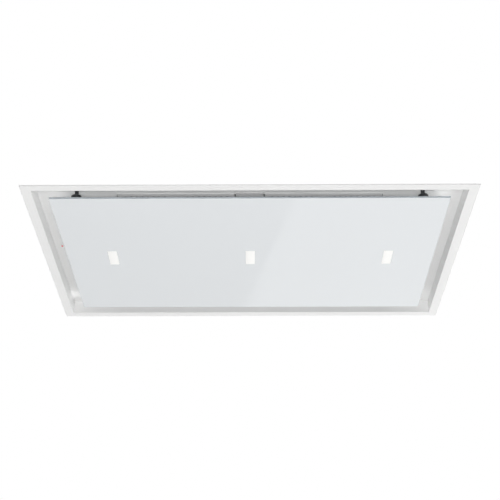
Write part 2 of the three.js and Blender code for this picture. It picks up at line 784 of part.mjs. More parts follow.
// Shelf that carries the blower, with downturned rims fixed to the casing walls.
function fanShelf() {
  const halfX = casingHalfX - casingSheet - seatGap;
  const halfY = casingHalfY - casingSheet - seatGap;
  const inlet = circle(inletHoleRadius + shelfInletMargin, fanX, fanY);
  const plate = pierced(rectangle(halfX, halfY), [inlet]);
  const rim = pierced(rectangle(halfX, halfY), [rectangle(halfX - shelfSheet, halfY - shelfSheet)]);
  return join(
    upright(plate, shelfZ, shelfZ + shelfSheet, 16),
    upright(rim, shelfZ - shelfRim, shelfZ + shelfSheet),
  );
}

// L-shaped bracket on a long side of the casing: slotted for height, with a hole for a hanging rod.
function hangerBracket(sideX, sideY) {
  const x = sideX * (casingHalfX - hangerInset);
  const half = hangerWidth / 2;
  const near = casingHalfY + seatGap;
  const wallLeg = pierced(rectangle(half, hangerDrop / 2, x, casingTop - hangerDrop / 2), [
    slot(x - half / 2, casingTop - hangerDrop * 0.6, hangerSlotRadius, hangerSlotLength),
    slot(x + half / 2, casingTop - hangerDrop * 0.6, hangerSlotRadius, hangerSlotLength),
  ]);
  const rodY = near + hangerSheet + hangerReach / 2;
  const topLeg = pierced(
    rectangle(half, hangerReach / 2 + hangerSheet / 2, x, near + (hangerReach + hangerSheet) / 2),
    [circle(hangerRodHoleRadius, x, rodY)],
  );
  const gussetOutline = polygon([
    [near + hangerSheet / 2, casingTop - hangerDrop * 0.35],
    [near + hangerReach * 0.8, casingTop - hangerSheet / 2],
    [near + hangerSheet / 2, casingTop - hangerSheet / 2],
  ]);
  const bracket = join(
    alongY(wallLeg, near, near + hangerSheet, 4),
    upright(topLeg, casingTop - hangerSheet, casingTop, 6),
    alongX(gussetOutline, x - half, x - half + hangerSheet),
    alongX(gussetOutline, x + half - hangerSheet, x + half),
  );
  return sideY > 0 ? bracket : bracket.rotateZ(Math.PI).translate(2 * x, 0, 0);
}

// ---------------------------------------------------------------- blower

// The scroll in plan: a spiral round the impeller that opens into a straight duct towards +X.
function scrollOutline(offset, endX) {
  const start = scrollStartRadius + offset;
  const tongueY = ductWidth - scrollEndRadius + offset;
  const from = Math.asin(tongueY / start);
  const to = 1.5 * Math.PI;
  const steps = 36;
  const spiral = Array.from({ length: steps + 1 }, (_, i) => {
    const share = i / steps;
    const angle = from + (to - from) * share;
    const radius = start + scrollExpansion * share;
    return [fanX + radius * Math.cos(angle), fanY + radius * Math.sin(angle)];
  });
  return polygon([
    ...spiral,
    [endX, fanY - scrollEndRadius - offset],
    [endX, fanY + tongueY],
  ]);
}

// Scroll housing: floor and spiral wall in one piece, with a round inlet in the floor.
function scrollHousing() {
  const outer = upright(scrollOutline(scrollWall, ductEndX), scrollBottom, scrollTop);
  const air = upright(scrollOutline(0, ductEndX + overshoot), scrollBottom + scrollWall,
    scrollTop + overshoot);
  const inlet = upright(circle(inletHoleRadius, fanX, fanY), scrollBottom - overshoot, scrollTop, 16);
  return cut(outer, air, inlet);
}

// Lid of the scroll, with a hole that the motor hangs through.
function scrollCover() {
  const motorHole = circle(motorRadius + coverMotorGap, fanX, fanY);
  const outline = pierced(scrollOutline(scrollWall, ductEndX), [motorHole]);
  return upright(outline, scrollTop + seatGap, coverTop, 16);
}

// Turned inlet ring: a flat flange on the scroll's floor, rounding up into the impeller's eye.
function inletBellmouth() {
  const flangeZ = scrollBottom + scrollWall + seatGap;
  const centreR = bellmouthThroatRadius + bellmouthRadius;
  const outerArc = arcPoints(centreR, flangeZ + bellmouthRadius, bellmouthRadius, 270, 180, 3);
  const innerArc = arcPoints(centreR, flangeZ + bellmouthRadius, bellmouthRadius - bellmouthSheet,
    180, 270, 3);
  const collarTop = flangeZ + bellmouthRadius + bellmouthCollar;
  const profile = [
    [bellmouthThroatRadius, collarTop],
    ...outerArc.reverse(),
    [centreR + bellmouthFlange, flangeZ],
    [centreR + bellmouthFlange, flangeZ + bellmouthSheet],
    ...innerArc.reverse(),
    [bellmouthThroatRadius + bellmouthSheet, collarTop],
  ];
  return turned(profile, 32).translate(fanX, fanY, 0);
}

const impellerBottom = scrollBottom + scrollWall + impellerFloorClearance + 2 * seatGap;
const impellerTop = scrollTop - impellerRoofClearance;

// One forward-curved blade in plan, between the eye and the rim.
function bladeOutline() {
  const steps = 3;
  const reach = impellerRadius - impellerEyeRadius;
  const sweep = THREE.MathUtils.degToRad(bladeSweep);
  const centre = Array.from({ length: steps + 1 }, (_, i) => {
    const share = i / steps;
    const radius = impellerEyeRadius + reach * share;
    const angle = sweep * share ** 1.8;
    return new THREE.Vector2(radius * Math.cos(angle), radius * Math.sin(angle));
  });
  const side = (sign) => centre.map((point, i) => {
    const along = centre[Math.min(i + 1, steps)].clone().sub(centre[Math.max(i - 1, 0)]).normalize();
    const normal = new THREE.Vector2(-along.y, along.x).multiplyScalar((sign * bladeThickness) / 2);
    return point.clone().add(normal);
  });
  return new THREE.Shape([...side(-1), ...side(1).reverse()]);
}

// Forward-curved impeller: rim ring at the eye, blades, back plate and a deep hub cup for the motor.
function impeller() {
  const rimRadius = impellerRadius + impellerRimOverhang;
  const cupInner = motorRadius + hubClearance;
  const cupOuter = cupInner + impellerCupWall;
  const cupFloor = motorBottom - hubClearance;
  const bossRadius = shaftRadius + impellerBossWall;
  const bossBottom = cupFloor - impellerBossDrop;
  const ringRadius = impellerRadius - impellerRingWidth;
  const bore = shaftRadius + seatGap;
  const wheel = turned([
    [bore, bossBottom],
    [bossRadius, bossBottom],
    [bossRadius, cupFloor - impellerPlate],
    [cupOuter, cupFloor - impellerPlate],
    [cupOuter, impellerTop - impellerPlate],
    [rimRadius, impellerTop - impellerPlate],
    [rimRadius, impellerTop],
    [cupInner, impellerTop],
    [cupInner, cupFloor],
    [bossRadius, cupFloor],
    [bossRadius, cupFloor + hubClearance / 2],
    [bore, cupFloor + hubClearance / 2],
  ], 36);
  const ring = turned([
    [ringRadius, impellerBottom],
    [rimRadius, impellerBottom],
    [rimRadius, impellerBottom + impellerPlate],
    [ringRadius, impellerBottom + impellerPlate],
  ], 36);
  const blade = upright(bladeOutline(), impellerBottom + impellerPlate / 2,
    impellerTop - impellerPlate / 2);
  const blades = Array.from({ length: bladeCount }, (_, i) =>
    blade.clone().rotateZ((2 * Math.PI * i) / bladeCount));
  return join(wheel, ring, ...blades).translate(fanX, fanY, 0);
}

// Motor can with stepped ends, bored for its shaft.
function motorBody() {
  const bore = shaftRadius + seatGap;
  const step = 4;
  const neck = motorRadius * 0.4;
  return turned([
    [bore, motorBottom],
    [neck, motorBottom],
    [neck, motorBottom + step],
    [motorRadius - step, motorBottom + step],
    [motorRadius, motorBottom + 2 * step],
    [motorRadius, motorTop - 3 * step],
    [motorRadius - step / 2, motorTop - 2.5 * step],
    [motorRadius - step / 2, motorTop],
    [bore, motorTop],
  ], 28).translate(fanX, fanY, 0);
}

// Shaft through the motor and the impeller's boss.
function motorShaft() {
  const bottom = motorBottom - hubClearance - impellerBossDrop - shaftProud;
  const top = motorTop - seatGap;
  return new THREE.CylinderGeometry(shaftRadius, shaftRadius, top - bottom, 16)
    .rotateX(Math.PI / 2)
    .translate(fanX, fanY, (top + bottom) / 2);
}

const motorArmAngles = [90, 210, 330];
const motorArmRadius = motorRadius + motorArmReach;

// Three-armed spider that the motor hangs from, standing on rubber bushes on the scroll's lid.
function motorBracket() {
  const z0 = motorBracketZ;
  const z1 = z0 + motorBracketSheet;
  const disc = upright(circle(motorRadius), z0, z1, 16);
  const arms = motorArmAngles.map((angle) => {
    const arm = join(
      block([0, motorArmRadius], [-motorArmWidth / 2, motorArmWidth / 2], [z0, z1]),
      upright(circle(motorArmWidth / 2, motorArmRadius, 0), z0, z1, 6),
    );
    return arm.rotateZ(THREE.MathUtils.degToRad(angle));
  });
  const eye = upright(circle(motorBracketEyeRadius), z0 - overshoot, z1 + overshoot, 10);
  return cut(join(disc, ...arms), eye).translate(fanX, fanY, 0);
}

// Rubber bush under the end of one arm.
function motorBush(angle) {
  const radians = THREE.MathUtils.degToRad(angle);
  const waist = bushRadius - bushWaistDepth;
  const middle = bushBottom + bushHeight / 2;
  return turned([
    [bushHoleRadius, bushBottom],
    [bushRadius, bushBottom],
    [waist, middle],
    [bushRadius, bushBottom + bushHeight],
    [bushHoleRadius, bushBottom + bushHeight],
  ], 16).translate(
    fanX + motorArmRadius * Math.cos(radians),
    fanY + motorArmRadius * Math.sin(radians),
    0,
  );
}

// Foam frame that seals the scroll's mouth against the casing wall.
function outletGasket() {
  const halfY = ductWidth / 2 + scrollWall;
  const halfZ = scrollHeight / 2;
  const outline = pierced(rectangle(halfY, halfZ, ductY, ductZ),
    [rectangle(ductWidth / 2, halfZ - scrollWall, ductY, ductZ)]);
  const x0 = ductEndX + seatGap;
  return alongX(outline, x0, x0 + gasketThickness);
}

// ---------------------------------------------------------------- duct spigot and damper

const damperX = spigotFace + damperPinInset;

// Round spigot on a square flange, with a snap bead, a stop ring and two holes for the damper pin.
function outletSpigot() {
  const half = spigotOuter + spigotFlange - spigotWall;
  const flangeEnd = spigotFace + spigotFlangeThickness;
  const end = spigotFace + spigotLength;
  const beadX = end - spigotBeadInset;
  const beadFoot = 2 * spigotBeadRadius;
  const beadCrown = 1;
  const tubeStart = flangeEnd - 1;
  const stopRadius = spigotBore - damperStopWidth;
  const stopStart = spigotFace + 0.5;
  const stopEnd = damperX - damperKnuckleRadius - seatGap;
  const stopChamfer = 1.2;
  const flange = alongX(pierced(rectangle(half, half, ductY, ductZ), [circle(spigotBore, ductY, ductZ)]),
    spigotFace, flangeEnd, 18);
  const tube = turnedAlongX([
    [spigotBore, tubeStart],
    [spigotOuter, tubeStart],
    [spigotOuter, beadX - beadFoot],
    [spigotOuter + spigotBeadRadius, beadX - beadCrown],
    [spigotOuter + spigotBeadRadius, beadX + beadCrown],
    [spigotOuter, beadX + beadFoot],
    [spigotOuter, end],
    [spigotBore, end],
  ], ductY, ductZ);
  const stop = turnedAlongX([
    [stopRadius, stopStart],
    [spigotBore + spigotWall / 2, stopStart],
    [spigotBore + spigotWall / 2, stopEnd - stopChamfer],
    [spigotBore, stopEnd - stopChamfer],
    [stopRadius, stopEnd],
  ], ductY, ductZ);
  const pinHole = upright(circle(damperPinRadius + seatGap, damperX, ductY),
    ductZ - spigotOuter - overshoot, ductZ + spigotOuter + overshoot, 6);
  return cut(join(flange, tube, stop), pinHole);
}

// Upright pin across the spigot.
function damperPin() {
  const length = 2 * (spigotOuter - seatGap);
  return new THREE.CylinderGeometry(damperPinRadius, damperPinRadius, length, 14)
    .rotateX(Math.PI / 2)
    .translate(damperX, ductY, ductZ);
}

// Half-round flap on the pin, with knuckles on every second stretch of it. Turned half over about X,
// the same flap fills the other half and its knuckles fall in the stretches that this one leaves.
function damperFlap(half) {
  const radius = spigotBore - damperEdgeGap;
  const plateX = damperX - damperKnuckleRadius;
  const fromPin = damperKnuckleRadius + seatGap;
  const startAngle = Math.asin(fromPin / radius);
  const outline = new THREE.Shape();
  outline.absarc(0, 0, radius, -Math.PI / 2 + startAngle, Math.PI / 2 - startAngle);
  const plate = alongX(outline, plateX, plateX + damperSheet);
  const stretches = 4;
  const knuckleInset = 6; // from the flap's ends
  const strapLap = 2; // onto the plate
  const pitch = (2 * (radius - knuckleInset)) / stretches;
  const knuckles = [];
  for (let i = 0; i < stretches; i += 2) {
    const z0 = -radius + knuckleInset + i * pitch + seatGap;
    const z1 = z0 + pitch - 2 * seatGap;
    const barrel = upright(circle(damperKnuckleRadius), z0, z1, 7).translate(damperX, 0, 0);
    const strap = block([plateX, plateX + damperSheet], [0, fromPin + strapLap], [z0, z1]);
    knuckles.push(barrel, strap);
  }
  const bore = upright(circle(damperPinRadius + seatGap), -radius, radius, 7).translate(damperX, 0, 0);
  const flap = cut(join(plate, ...knuckles), bore);
  return flap.rotateX(half === "back" ? 0 : Math.PI).translate(0, ductY, ductZ);
}

// ---------------------------------------------------------------- electrical parts

const controlBoxZ = trayTop + controlBoxBottom + controlBoxHeight / 2;
const controlBoxX = -casingHalfX - seatGap;
const controlBoxMouth = controlBoxX - controlBoxDepth;

// Plastic box on the casing's short side, open outwards, with standoffs for the circuit board.
function controlBox() {
  const halfY = controlBoxWidth / 2;
  const halfZ = controlBoxHeight / 2;
  const shell = alongX(rectangle(halfY, halfZ, 0, controlBoxZ), controlBoxMouth, controlBoxX);
  const room = alongX(rectangle(halfY - controlBoxWall, halfZ - controlBoxWall, 0, controlBoxZ),
    controlBoxMouth - overshoot, controlBoxX - controlBoxWall);
  const fromEdge = controlBoxWall + boardMargin + standoffInset;
  const standoffs = [-1, 1].flatMap((sideY) => [-1, 1].map((sideZ) => alongX(
    circle(standoffRadius, sideY * (halfY - fromEdge), controlBoxZ + sideZ * (halfZ - fromEdge)),
    controlBoxX - controlBoxWall - standoffHeight, controlBoxX - controlBoxWall / 2, 6)));
  const wireHole = alongX(circle(glandThreadRadius, 0, controlBoxZ),
    controlBoxX - controlBoxWall - overshoot, controlBoxX + overshoot, 8);
  const glandHole = alongYHole(controlBoxX - controlBoxDepth / 2, halfY);
  return cut(join(cut(shell, room), ...standoffs), wireHole, glandHole);
}

// Round hole through the control box's back end wall, for the cable gland.
function alongYHole(x, halfY) {
  const hole = circle(glandThreadRadius + seatGap, x, controlBoxZ);
  return alongY(hole, halfY - controlBoxWall - overshoot, halfY + overshoot, 8);
}

// Cover with a shallow rim that fits inside the box.
function controlBoxCover() {
  const halfY = controlBoxWidth / 2;
  const halfZ = controlBoxHeight / 2;
  const plateEnd = controlBoxMouth - seatGap;
  const plate = alongX(rectangle(halfY, halfZ, 0, controlBoxZ), plateEnd - controlBoxWall, plateEnd);
  const inset = controlBoxWall + seatGap;
  const rimDepth = 6;
  const rimSheet = 1.6;
  const rim = pierced(rectangle(halfY - inset, halfZ - inset, 0, controlBoxZ),
    [rectangle(halfY - inset - rimSheet, halfZ - inset - rimSheet, 0, controlBoxZ)]);
  return join(plate, alongX(rim, plateEnd - controlBoxWall / 2, plateEnd + rimDepth));
}

const boardX = controlBoxX - controlBoxWall - standoffHeight - seatGap - boardThickness;

function controlBoard() {
  const halfY = controlBoxWidth / 2 - controlBoxWall - boardMargin;
  const halfZ = controlBoxHeight / 2 - controlBoxWall - boardMargin;
  return alongX(rectangle(halfY, halfZ, 0, controlBoxZ), boardX, boardX + boardThickness);
}

// Run capacitor, lying against the board along Y.
function runCapacitor() {
  const x = boardX - seatGap - capacitorRadius;
  const y0 = -controlBoxWidth / 2 + controlBoxWall + boardMargin + capacitorInset;
  const can = circle(capacitorRadius, x, controlBoxZ + capacitorLift);
  return alongY(can, y0, y0 + capacitorLength, 12);
}

// Terminal block on the board, beside the cable's way in.
function terminalBlock() {
  const [depth, width, height] = terminalBlockSize;
  const x1 = boardX - seatGap;
  const y0 = controlBoxWidth / 2 - controlBoxWall - boardMargin - width - terminalBlockInset;
  const body = block([x1 - depth, x1], [y0, y0 + width],
    [controlBoxZ - height / 2, controlBoxZ + height / 2]);
  const polePitch = width / terminalPoles;
  const wells = Array.from({ length: terminalPoles }, (_, i) => block(
    [x1 - depth - overshoot, x1 - depth / 2],
    [y0 + polePitch * (i + 0.2), y0 + polePitch * (i + 0.8)],
    [controlBoxZ - height / 4, controlBoxZ + height / 4],
  ));
  return cut(body, ...wells);
}

// Cable gland in the end of the box: a six-sided body, a domed nut and a locknut inside.
function cableGland() {
  const wall = controlBoxWidth / 2;
  const x = controlBoxX - controlBoxDepth / 2;
  const bodyEnd = seatGap + glandBodyLength;
  const nutEnd = bodyEnd + glandNutLength;
  const domeEnd = nutEnd + glandDomeLength;
  const threadEnd = -controlBoxWall - glandThreadLength;
  const nutRadius = glandNutRadius - 1.5;
  const noseRadius = 8;
  const tube = turned([
    [glandBoreRadius, threadEnd],
    [glandThreadRadius, threadEnd],
    [glandThreadRadius, bodyEnd],
    [nutRadius, bodyEnd],
    [nutRadius, nutEnd],
    [noseRadius, domeEnd],
    [glandBoreRadius, domeEnd],
  ], 18);
  const hexagon = (from, to) => {
    const outline = pierced(circle(glandNutRadius), [circle(glandThreadRadius - 1)]);
    return upright(outline, from, to, 3);
  };
  const locknutEnd = -controlBoxWall - seatGap;
  const gland = join(tube, hexagon(seatGap, bodyEnd),
    hexagon(locknutEnd - glandLocknutLength, locknutEnd));
  return gland.rotateX(-Math.PI / 2).translate(x, wall, controlBoxZ);
}

// Sealed lamp driver on the tray, with a mounting ear at each end.
function ledDriver() {
  const [length, width, height] = driverSize;
  const x = -openingHalfX + driverInset[0];
  const y = openingHalfY - driverInset[1];
  const body = block([x - length / 2, x + length / 2], [y - width / 2, y + width / 2],
    [casingBottom, casingBottom + height]);
  const [earWidth, earReach, earThickness] = driverEar;
  const ears = [-1, 1].map((side) => {
    const earY = y + (side * (width + earReach * 2)) / 2;
    const outline = pierced(rectangle(earWidth / 2, earReach, x, earY),
      [circle(driverEarHoleRadius, x, earY)]);
    return upright(outline, casingBottom, casingBottom + earThickness, 6);
  });
  return join(body, ...ears);
}

const indicatorX = -openingHalfX + receiverInset;

// Housing of the remote control's receiver, on the tray over the left-hand air gap.
function receiverHousing() {
  const [width, length, height] = receiverSize;
  const middle = indicatorX + receiverShift;
  const shell = block([middle - width / 2, middle + width / 2],
    [-length / 2, length / 2], [casingBottom, casingBottom + height]);
  const well = upright(circle(indicatorRadius + seatGap, indicatorX, 0), casingBottom - overshoot,
    casingBottom + height / 2, 8);
  return cut(shell, well);
}

// Red indicator lens, with a domed end that just shows below the tray.
function indicatorLens() {
  const top = casingBottom + receiverSize[2] / 2 - seatGap;
  const domeSteps = 3;
  const dome = Array.from({ length: domeSteps + 1 }, (_, i) => {
    const angle = ((i / domeSteps) * Math.PI) / 2;
    return [indicatorRadius * Math.sin(angle), roofZ - indicatorProud * Math.cos(angle)];
  });
  const profile = [...dome, [indicatorRadius, top], [0, top]];
  const outline = profile.map(([r, z]) => new THREE.Vector2(r, z));
  return new THREE.LatheGeometry(outline, 12).rotateX(Math.PI / 2).translate(indicatorX, 0, 0);
}

// ---------------------------------------------------------------- assembly

place("ceiling_frame", ceilingFrame(), paintedWhite);
place("tray_plate", tray(), paintedWhite);

place("glass_panel", glassPanel(), glassWhite);
place("panel_carrier", panelCarrier(), galvanised);
for (const [side, x] of lampPlaces()) {
  place(`lamp_lens_${side}`, lampLens(x), lensWhite);
  place(`lamp_body_${side}`, lampBody(x), castAluminium);
}
for (const [side, x] of [["left", -studX], ["right", studX]]) {
  place(`latch_stud_${side}`, latchStud(x), blackPlastic);
  place(`magnet_catch_${side}`, magnetCatch(x), blackPlastic);
}
for (const [side, x] of hingePlaces()) {
  place(`hinge_arm_${side}`, hingeArm(x), stainless);
  place(`hinge_bracket_${side}`, hingeBracket(x), galvanised);
  place(`hinge_pin_${side}`, hingePin(x), stainless);
}

for (const [side, x] of [["left", -filterX], ["right", filterX]]) {
  place(`filter_frame_${side}`, filterFrame(x), stainless);
  place(`filter_face_${side}`, filterFace(x), stainless);
  place(`filter_mesh_${side}`, filterMesh(x), aluminiumMesh);
  place(`filter_latch_${side}`, filterLatch(x), greyPlastic);
}
place("filter_divider", filterDivider(), stainless);

place("casing_shell", casingShell(), galvanised);
place("casing_lid", casingLid(), galvanised);
place("fan_shelf", fanShelf(), galvanised);
for (const [end, sideX] of [["left", -1], ["right", 1]]) {
  place(`hanger_front_${end}`, hangerBracket(sideX, -1), galvanised);
  place(`hanger_back_${end}`, hangerBracket(sideX, 1), galvanised);
}

place("scroll_housing", scrollHousing(), greyPlastic);
place("scroll_cover", scrollCover(), galvanised);
place("inlet_bellmouth", inletBellmouth(), galvanised);
place("impeller", impeller(), greyPlastic);
place("motor_body", motorBody(), castAluminium);
place("motor_shaft", motorShaft(), stainless);
place("motor_bracket", motorBracket(), galvanised);
motorArmAngles.forEach((angle, i) => place(`motor_bush_${i + 1}`, motorBush(angle), rubber));
place("outlet_gasket", outletGasket(), foam);

place("outlet_spigot", outletSpigot(), blackPlastic);
place("damper_pin", damperPin(), stainless);
place("damper_flap_back", damperFlap("back"), blackPlastic);
place("damper_flap_front", damperFlap("front"), blackPlastic);

place("control_box", controlBox(), whitePlastic);
place("control_box_cover", controlBoxCover(), whitePlastic);
place("control_board", controlBoard(), circuitGreen);
place("run_capacitor", runCapacitor(), whitePlastic);
place("terminal_block", terminalBlock(), whitePlastic);
place("cable_gland", cableGland(), blackPlastic);
place("led_driver", ledDriver(), whitePlastic);
place("receiver_housing", receiverHousing(), blackPlastic);
place("indicator_lens", indicatorLens(), redLens);

export default hood;
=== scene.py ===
"""A ceiling range hood with perimeter suction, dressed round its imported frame.

Metres, with the frame's own origin and axes: +Z is up into the ceiling void, +X runs along the hood and
-Y is the front, where the glass panel opens. The sections follow the hood as it is put together.
"""

import json
import math

import bmesh
import bpy
import numpy as np
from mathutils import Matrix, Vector
from mathutils.geometry import delaunay_2d_cdt


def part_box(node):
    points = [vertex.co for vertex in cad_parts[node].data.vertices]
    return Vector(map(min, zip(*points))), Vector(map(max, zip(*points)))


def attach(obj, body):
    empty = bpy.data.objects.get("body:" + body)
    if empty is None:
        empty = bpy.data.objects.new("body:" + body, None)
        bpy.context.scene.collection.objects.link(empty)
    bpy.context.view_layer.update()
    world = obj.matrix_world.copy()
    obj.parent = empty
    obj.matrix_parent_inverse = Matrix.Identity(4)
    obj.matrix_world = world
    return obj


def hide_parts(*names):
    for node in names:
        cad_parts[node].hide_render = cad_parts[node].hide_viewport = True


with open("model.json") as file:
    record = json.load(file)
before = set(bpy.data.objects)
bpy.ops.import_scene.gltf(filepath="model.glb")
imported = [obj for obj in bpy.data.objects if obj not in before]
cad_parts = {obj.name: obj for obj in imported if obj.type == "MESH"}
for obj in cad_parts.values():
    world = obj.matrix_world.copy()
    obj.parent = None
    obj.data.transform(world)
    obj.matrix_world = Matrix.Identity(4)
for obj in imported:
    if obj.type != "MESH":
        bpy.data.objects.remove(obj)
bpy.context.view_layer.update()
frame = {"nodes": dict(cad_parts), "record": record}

# ---------------------------------------------------------------- viewpoint
# The hood hangs in a ceiling and is seen from the floor in front of it, through a long lens.

camera_place = (0.0118, -2.0642, -1.1070)
camera_tilt = math.radians(28.576)
camera_turn = math.radians(0.347)
camera_lens = 76.9

camera_data = bpy.data.cameras.new("camera")
camera_data.lens = camera_lens
camera_data.sensor_width = 36.0
camera = bpy.data.objects.new("camera", camera_data)
camera.location = camera_place
camera.rotation_euler = (math.pi / 2 + camera_tilt, 0.0, camera_turn)
bpy.context.scene.collection.objects.link(camera)
bpy.context.scene.camera = camera

# ---------------------------------------------------------------- room
# A plain pale floor far below, a white ceiling with the hood's cut-out, a white surround and soft lamps.
# The ceiling shows only from below. A grey card beyond the hood shows only as a reflection in the glass.


class Wire:
    """One output of a shader node. Operators on wires and numbers add Math nodes."""

    def __init__(self, finish, node, socket):
        self.finish = finish
        self.node = node
        self.socket = socket

    def __getitem__(self, name):
        return Wire(self.finish, self.node, self.node.outputs[name])

    def maths(self, operation, *values):
        return self.finish.node("ShaderNodeMath", {"operation": operation}, dict(enumerate(values)))

    def __add__(self, other):
        return self.maths("ADD", self, other)

    def __radd__(self, other):
        return self.maths("ADD", other, self)

    def __sub__(self, other):
        return self.maths("SUBTRACT", self, other)

    def __rsub__(self, other):
        return self.maths("SUBTRACT", other, self)

    def __mul__(self, other):
        return self.maths("MULTIPLY", self, other)

    def __rmul__(self, other):
        return self.maths("MULTIPLY", other, self)

    def __gt__(self, other):
        return self.maths("GREATER_THAN", self, other)

    def __lt__(self, other):
        return self.maths("LESS_THAN", self, other)

    def __abs__(self):
        return self.maths("ABSOLUTE", self)

    def larger(self, other):
        return self.maths("MAXIMUM", self, other)

    def sine(self):
        return self.maths("SINE", self)


class Shader:
    """A node tree that is built up node by node."""

    def __init__(self, tree, shader):
        self.tree = tree
        self.shader = tree.nodes[shader]

    def put(self, socket, value):
        """Links a wire to a socket, or sets the socket's own value."""
        if isinstance(value, Wire):
            self.tree.links.new(value.socket, socket)
        elif isinstance(value, tuple) and len(value) == 3 and len(socket.default_value) == 4:
            socket.default_value = (*value, 1.0)
        else:
            socket.default_value = value

    def node(self, kind, settings=None, inputs=None):
        """A node of that kind: its settings first, then its sockets. Gives its first output in use."""
        made = self.tree.nodes.new(kind)
        for name, value in (settings or {}).items():
            setattr(made, name, value)
        for name, value in (inputs or {}).items():
            self.put(made.inputs[name], value)
        return Wire(self, made, next(socket for socket in made.outputs if socket.enabled))

    def paint(self, name, value):
        self.put(self.shader.inputs[name], value)


class Finish(Shader):
    """A material with one Principled shader."""

    def __init__(self, name, colour, roughness, metallic=0.0):
        self.material = bpy.data.materials.new(name)
        self.material.use_nodes = True
        super().__init__(self.material.node_tree, "Principled BSDF")
        self.paint("Base Color", colour)
        self.paint("Roughness", roughness)
        self.paint("Metallic", metallic)

    def place(self, stretch=(1.0, 1.0, 1.0)):
        """Object coordinates in metres, stretched by a factor along each axis."""
        coordinates = self.node("ShaderNodeTexCoord")["Object"]
        return self.node("ShaderNodeMapping", {}, {"Vector": coordinates, "Scale": stretch})

    def along(self, axis):
        """One object coordinate in metres: X, Y or Z."""
        return self.node("ShaderNodeSeparateXYZ", {}, {"Vector": self.place()})[axis]

    def grain(self, scale, detail=2.0, stretch=(1.0, 1.0, 1.0)):
        """Noise from 0 to 1 with about scale features a metre."""
        return self.node("ShaderNodeTexNoise", {}, {
            "Vector": self.place(stretch), "Scale": scale, "Detail": detail})

    def blend(self, share, low, high):
        """A colour between two, by a share from 0 to 1."""
        return self.node("ShaderNodeMix", {"data_type": "RGBA"}, {0: share, 6: low, 7: high})

    def relief(self, height, depth):
        """Bumps of that depth in metres."""
        self.paint("Normal", self.node("ShaderNodeBump", {}, {"Height": height, "Distance": depth}))

    def vary(self, share, colours=None, roughness=None, depth=None):
        """A share from 0 to 1 moves the colour between two, raises the roughness from its start by its rise
        times the share, and gives bumps of that depth."""
        if colours:
            self.paint("Base Color", self.blend(share, *colours))
        if roughness:
            self.paint("Roughness", roughness[0] + share * roughness[1])
        if depth:
            self.relief(share, depth)

    def grained(self, scale, detail, stretch=(1.0, 1.0, 1.0), **change):
        """Noise that varies the finish. Gives the finish back."""
        self.vary(self.grain(scale, detail, stretch), **change)
        return self

    def glow(self, colour, strength):
        self.paint("Emission Color", colour)
        self.paint("Emission Strength", strength)


def flat_stage(name, corners, finish, faces=None):
    """A flat sheet for the room, which is not part of the hood. Without faces, it is one polygon."""
    mesh = bpy.data.meshes.new(name)
    mesh.from_pydata(corners, [], faces or [tuple(range(len(corners)))])
    mesh.materials.append(finish.material)
    made = bpy.data.objects.new(name, mesh)
    bpy.context.scene.collection.objects.link(made)
    return made


def level_corners(half_x, half_y, level):
    """The four corners of a level rectangle round the hood's middle."""
    return [(sx * half_x, sy * half_y, level) for sx, sy in ((-1, -1), (-1, 1), (1, 1), (1, -1))]


floor_level = -4.0
floor_reach = 90.0
floor_glow = 0.45
reflected_white = 0.95

floor_finish = Finish("pale_floor", (0.86, 0.86, 0.85), 0.6)
path = floor_finish.node("ShaderNodeLightPath")
seen = path["Is Camera Ray"].larger(path["Is Transmission Ray"])
floor_finish.glow((1.0, 1.0, 1.0), seen * floor_glow + path["Is Glossy Ray"] * reflected_white)
flat_stage("floor", level_corners(floor_reach, floor_reach, floor_level)[::-1], floor_finish)

ceiling_lift = 0.0004
ceiling_reach = 8.0
cut_out_margin = 0.002
cut_out = [half + cut_out_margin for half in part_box("tray_plate")[1][:2]]

ceiling_finish = Finish("white_ceiling", (0.0, 0.0, 0.0), 1.0)
ceiling_finish.paint("Specular IOR Level", 0.0)
ceiling_finish.glow((1.0, 1.0, 1.0), 1.0)
ceiling_finish.paint("Alpha", 1.0 - ceiling_finish.node("ShaderNodeNewGeometry")["Backfacing"])
ceiling = flat_stage("ceiling", [
    *level_corners(ceiling_reach, ceiling_reach, ceiling_lift), *level_corners(*cut_out, ceiling_lift)],
    ceiling_finish, [(i, (i + 1) % 4, 4 + (i + 1) % 4, 4 + i) for i in range(4)])

card_lift = 0.01
card_near = 2.0
card_far = 16.0
card_left = -9.0
card_shade = 0.60
glass_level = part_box("glass_panel")[0].z
glint_front = (0.091, -0.25)
glint_back = (-0.013, 0.25)


def on_card(point):
    """Where the floor is seen in the glass: the mirrored camera's ray through a point of the glass."""
    level = floor_level + card_lift
    mirror = np.array([camera_place[0], camera_place[1], 2 * glass_level - camera_place[2]])
    ray = np.array([*point, glass_level]) - mirror
    return mirror + ray * (level - mirror[2]) / ray[2]


edge_a, edge_b = on_card(glint_front), on_card(glint_back)
slope = (edge_b[0] - edge_a[0]) / (edge_b[1] - edge_a[1])
edge_near, edge_far = [(edge_a[0] + slope * (y - edge_a[1]), y, edge_a[2]) for y in (card_near, card_far)]
card_finish = Finish("reflected_card", (0.1, 0.1, 0.1), 1.0)
card_finish.glow((card_shade,) * 3, 1.0)
card = flat_stage("reflected_card", [
    (card_left, card_near, edge_a[2]), edge_near, edge_far, (card_left, card_far, edge_a[2])], card_finish)
for unlit in (ceiling, card):
    unlit.visible_diffuse = False
    unlit.visible_shadow = False
ceiling.visible_glossy = False
ceiling.visible_transmission = False
card.visible_camera = False

world = bpy.data.worlds.new("surround")
world.use_nodes = True
bpy.context.scene.world = world
surround = Shader(world.node_tree, "Background")
surround_strength = 0.03
path = surround.node("ShaderNodeLightPath")
plain = path["Is Camera Ray"].larger(path["Is Glossy Ray"]).larger(path["Is Transmission Ray"])
surround.paint("Color", (1.0, 1.0, 1.0))
surround.paint("Strength", plain * (1.0 - surround_strength) + surround_strength)

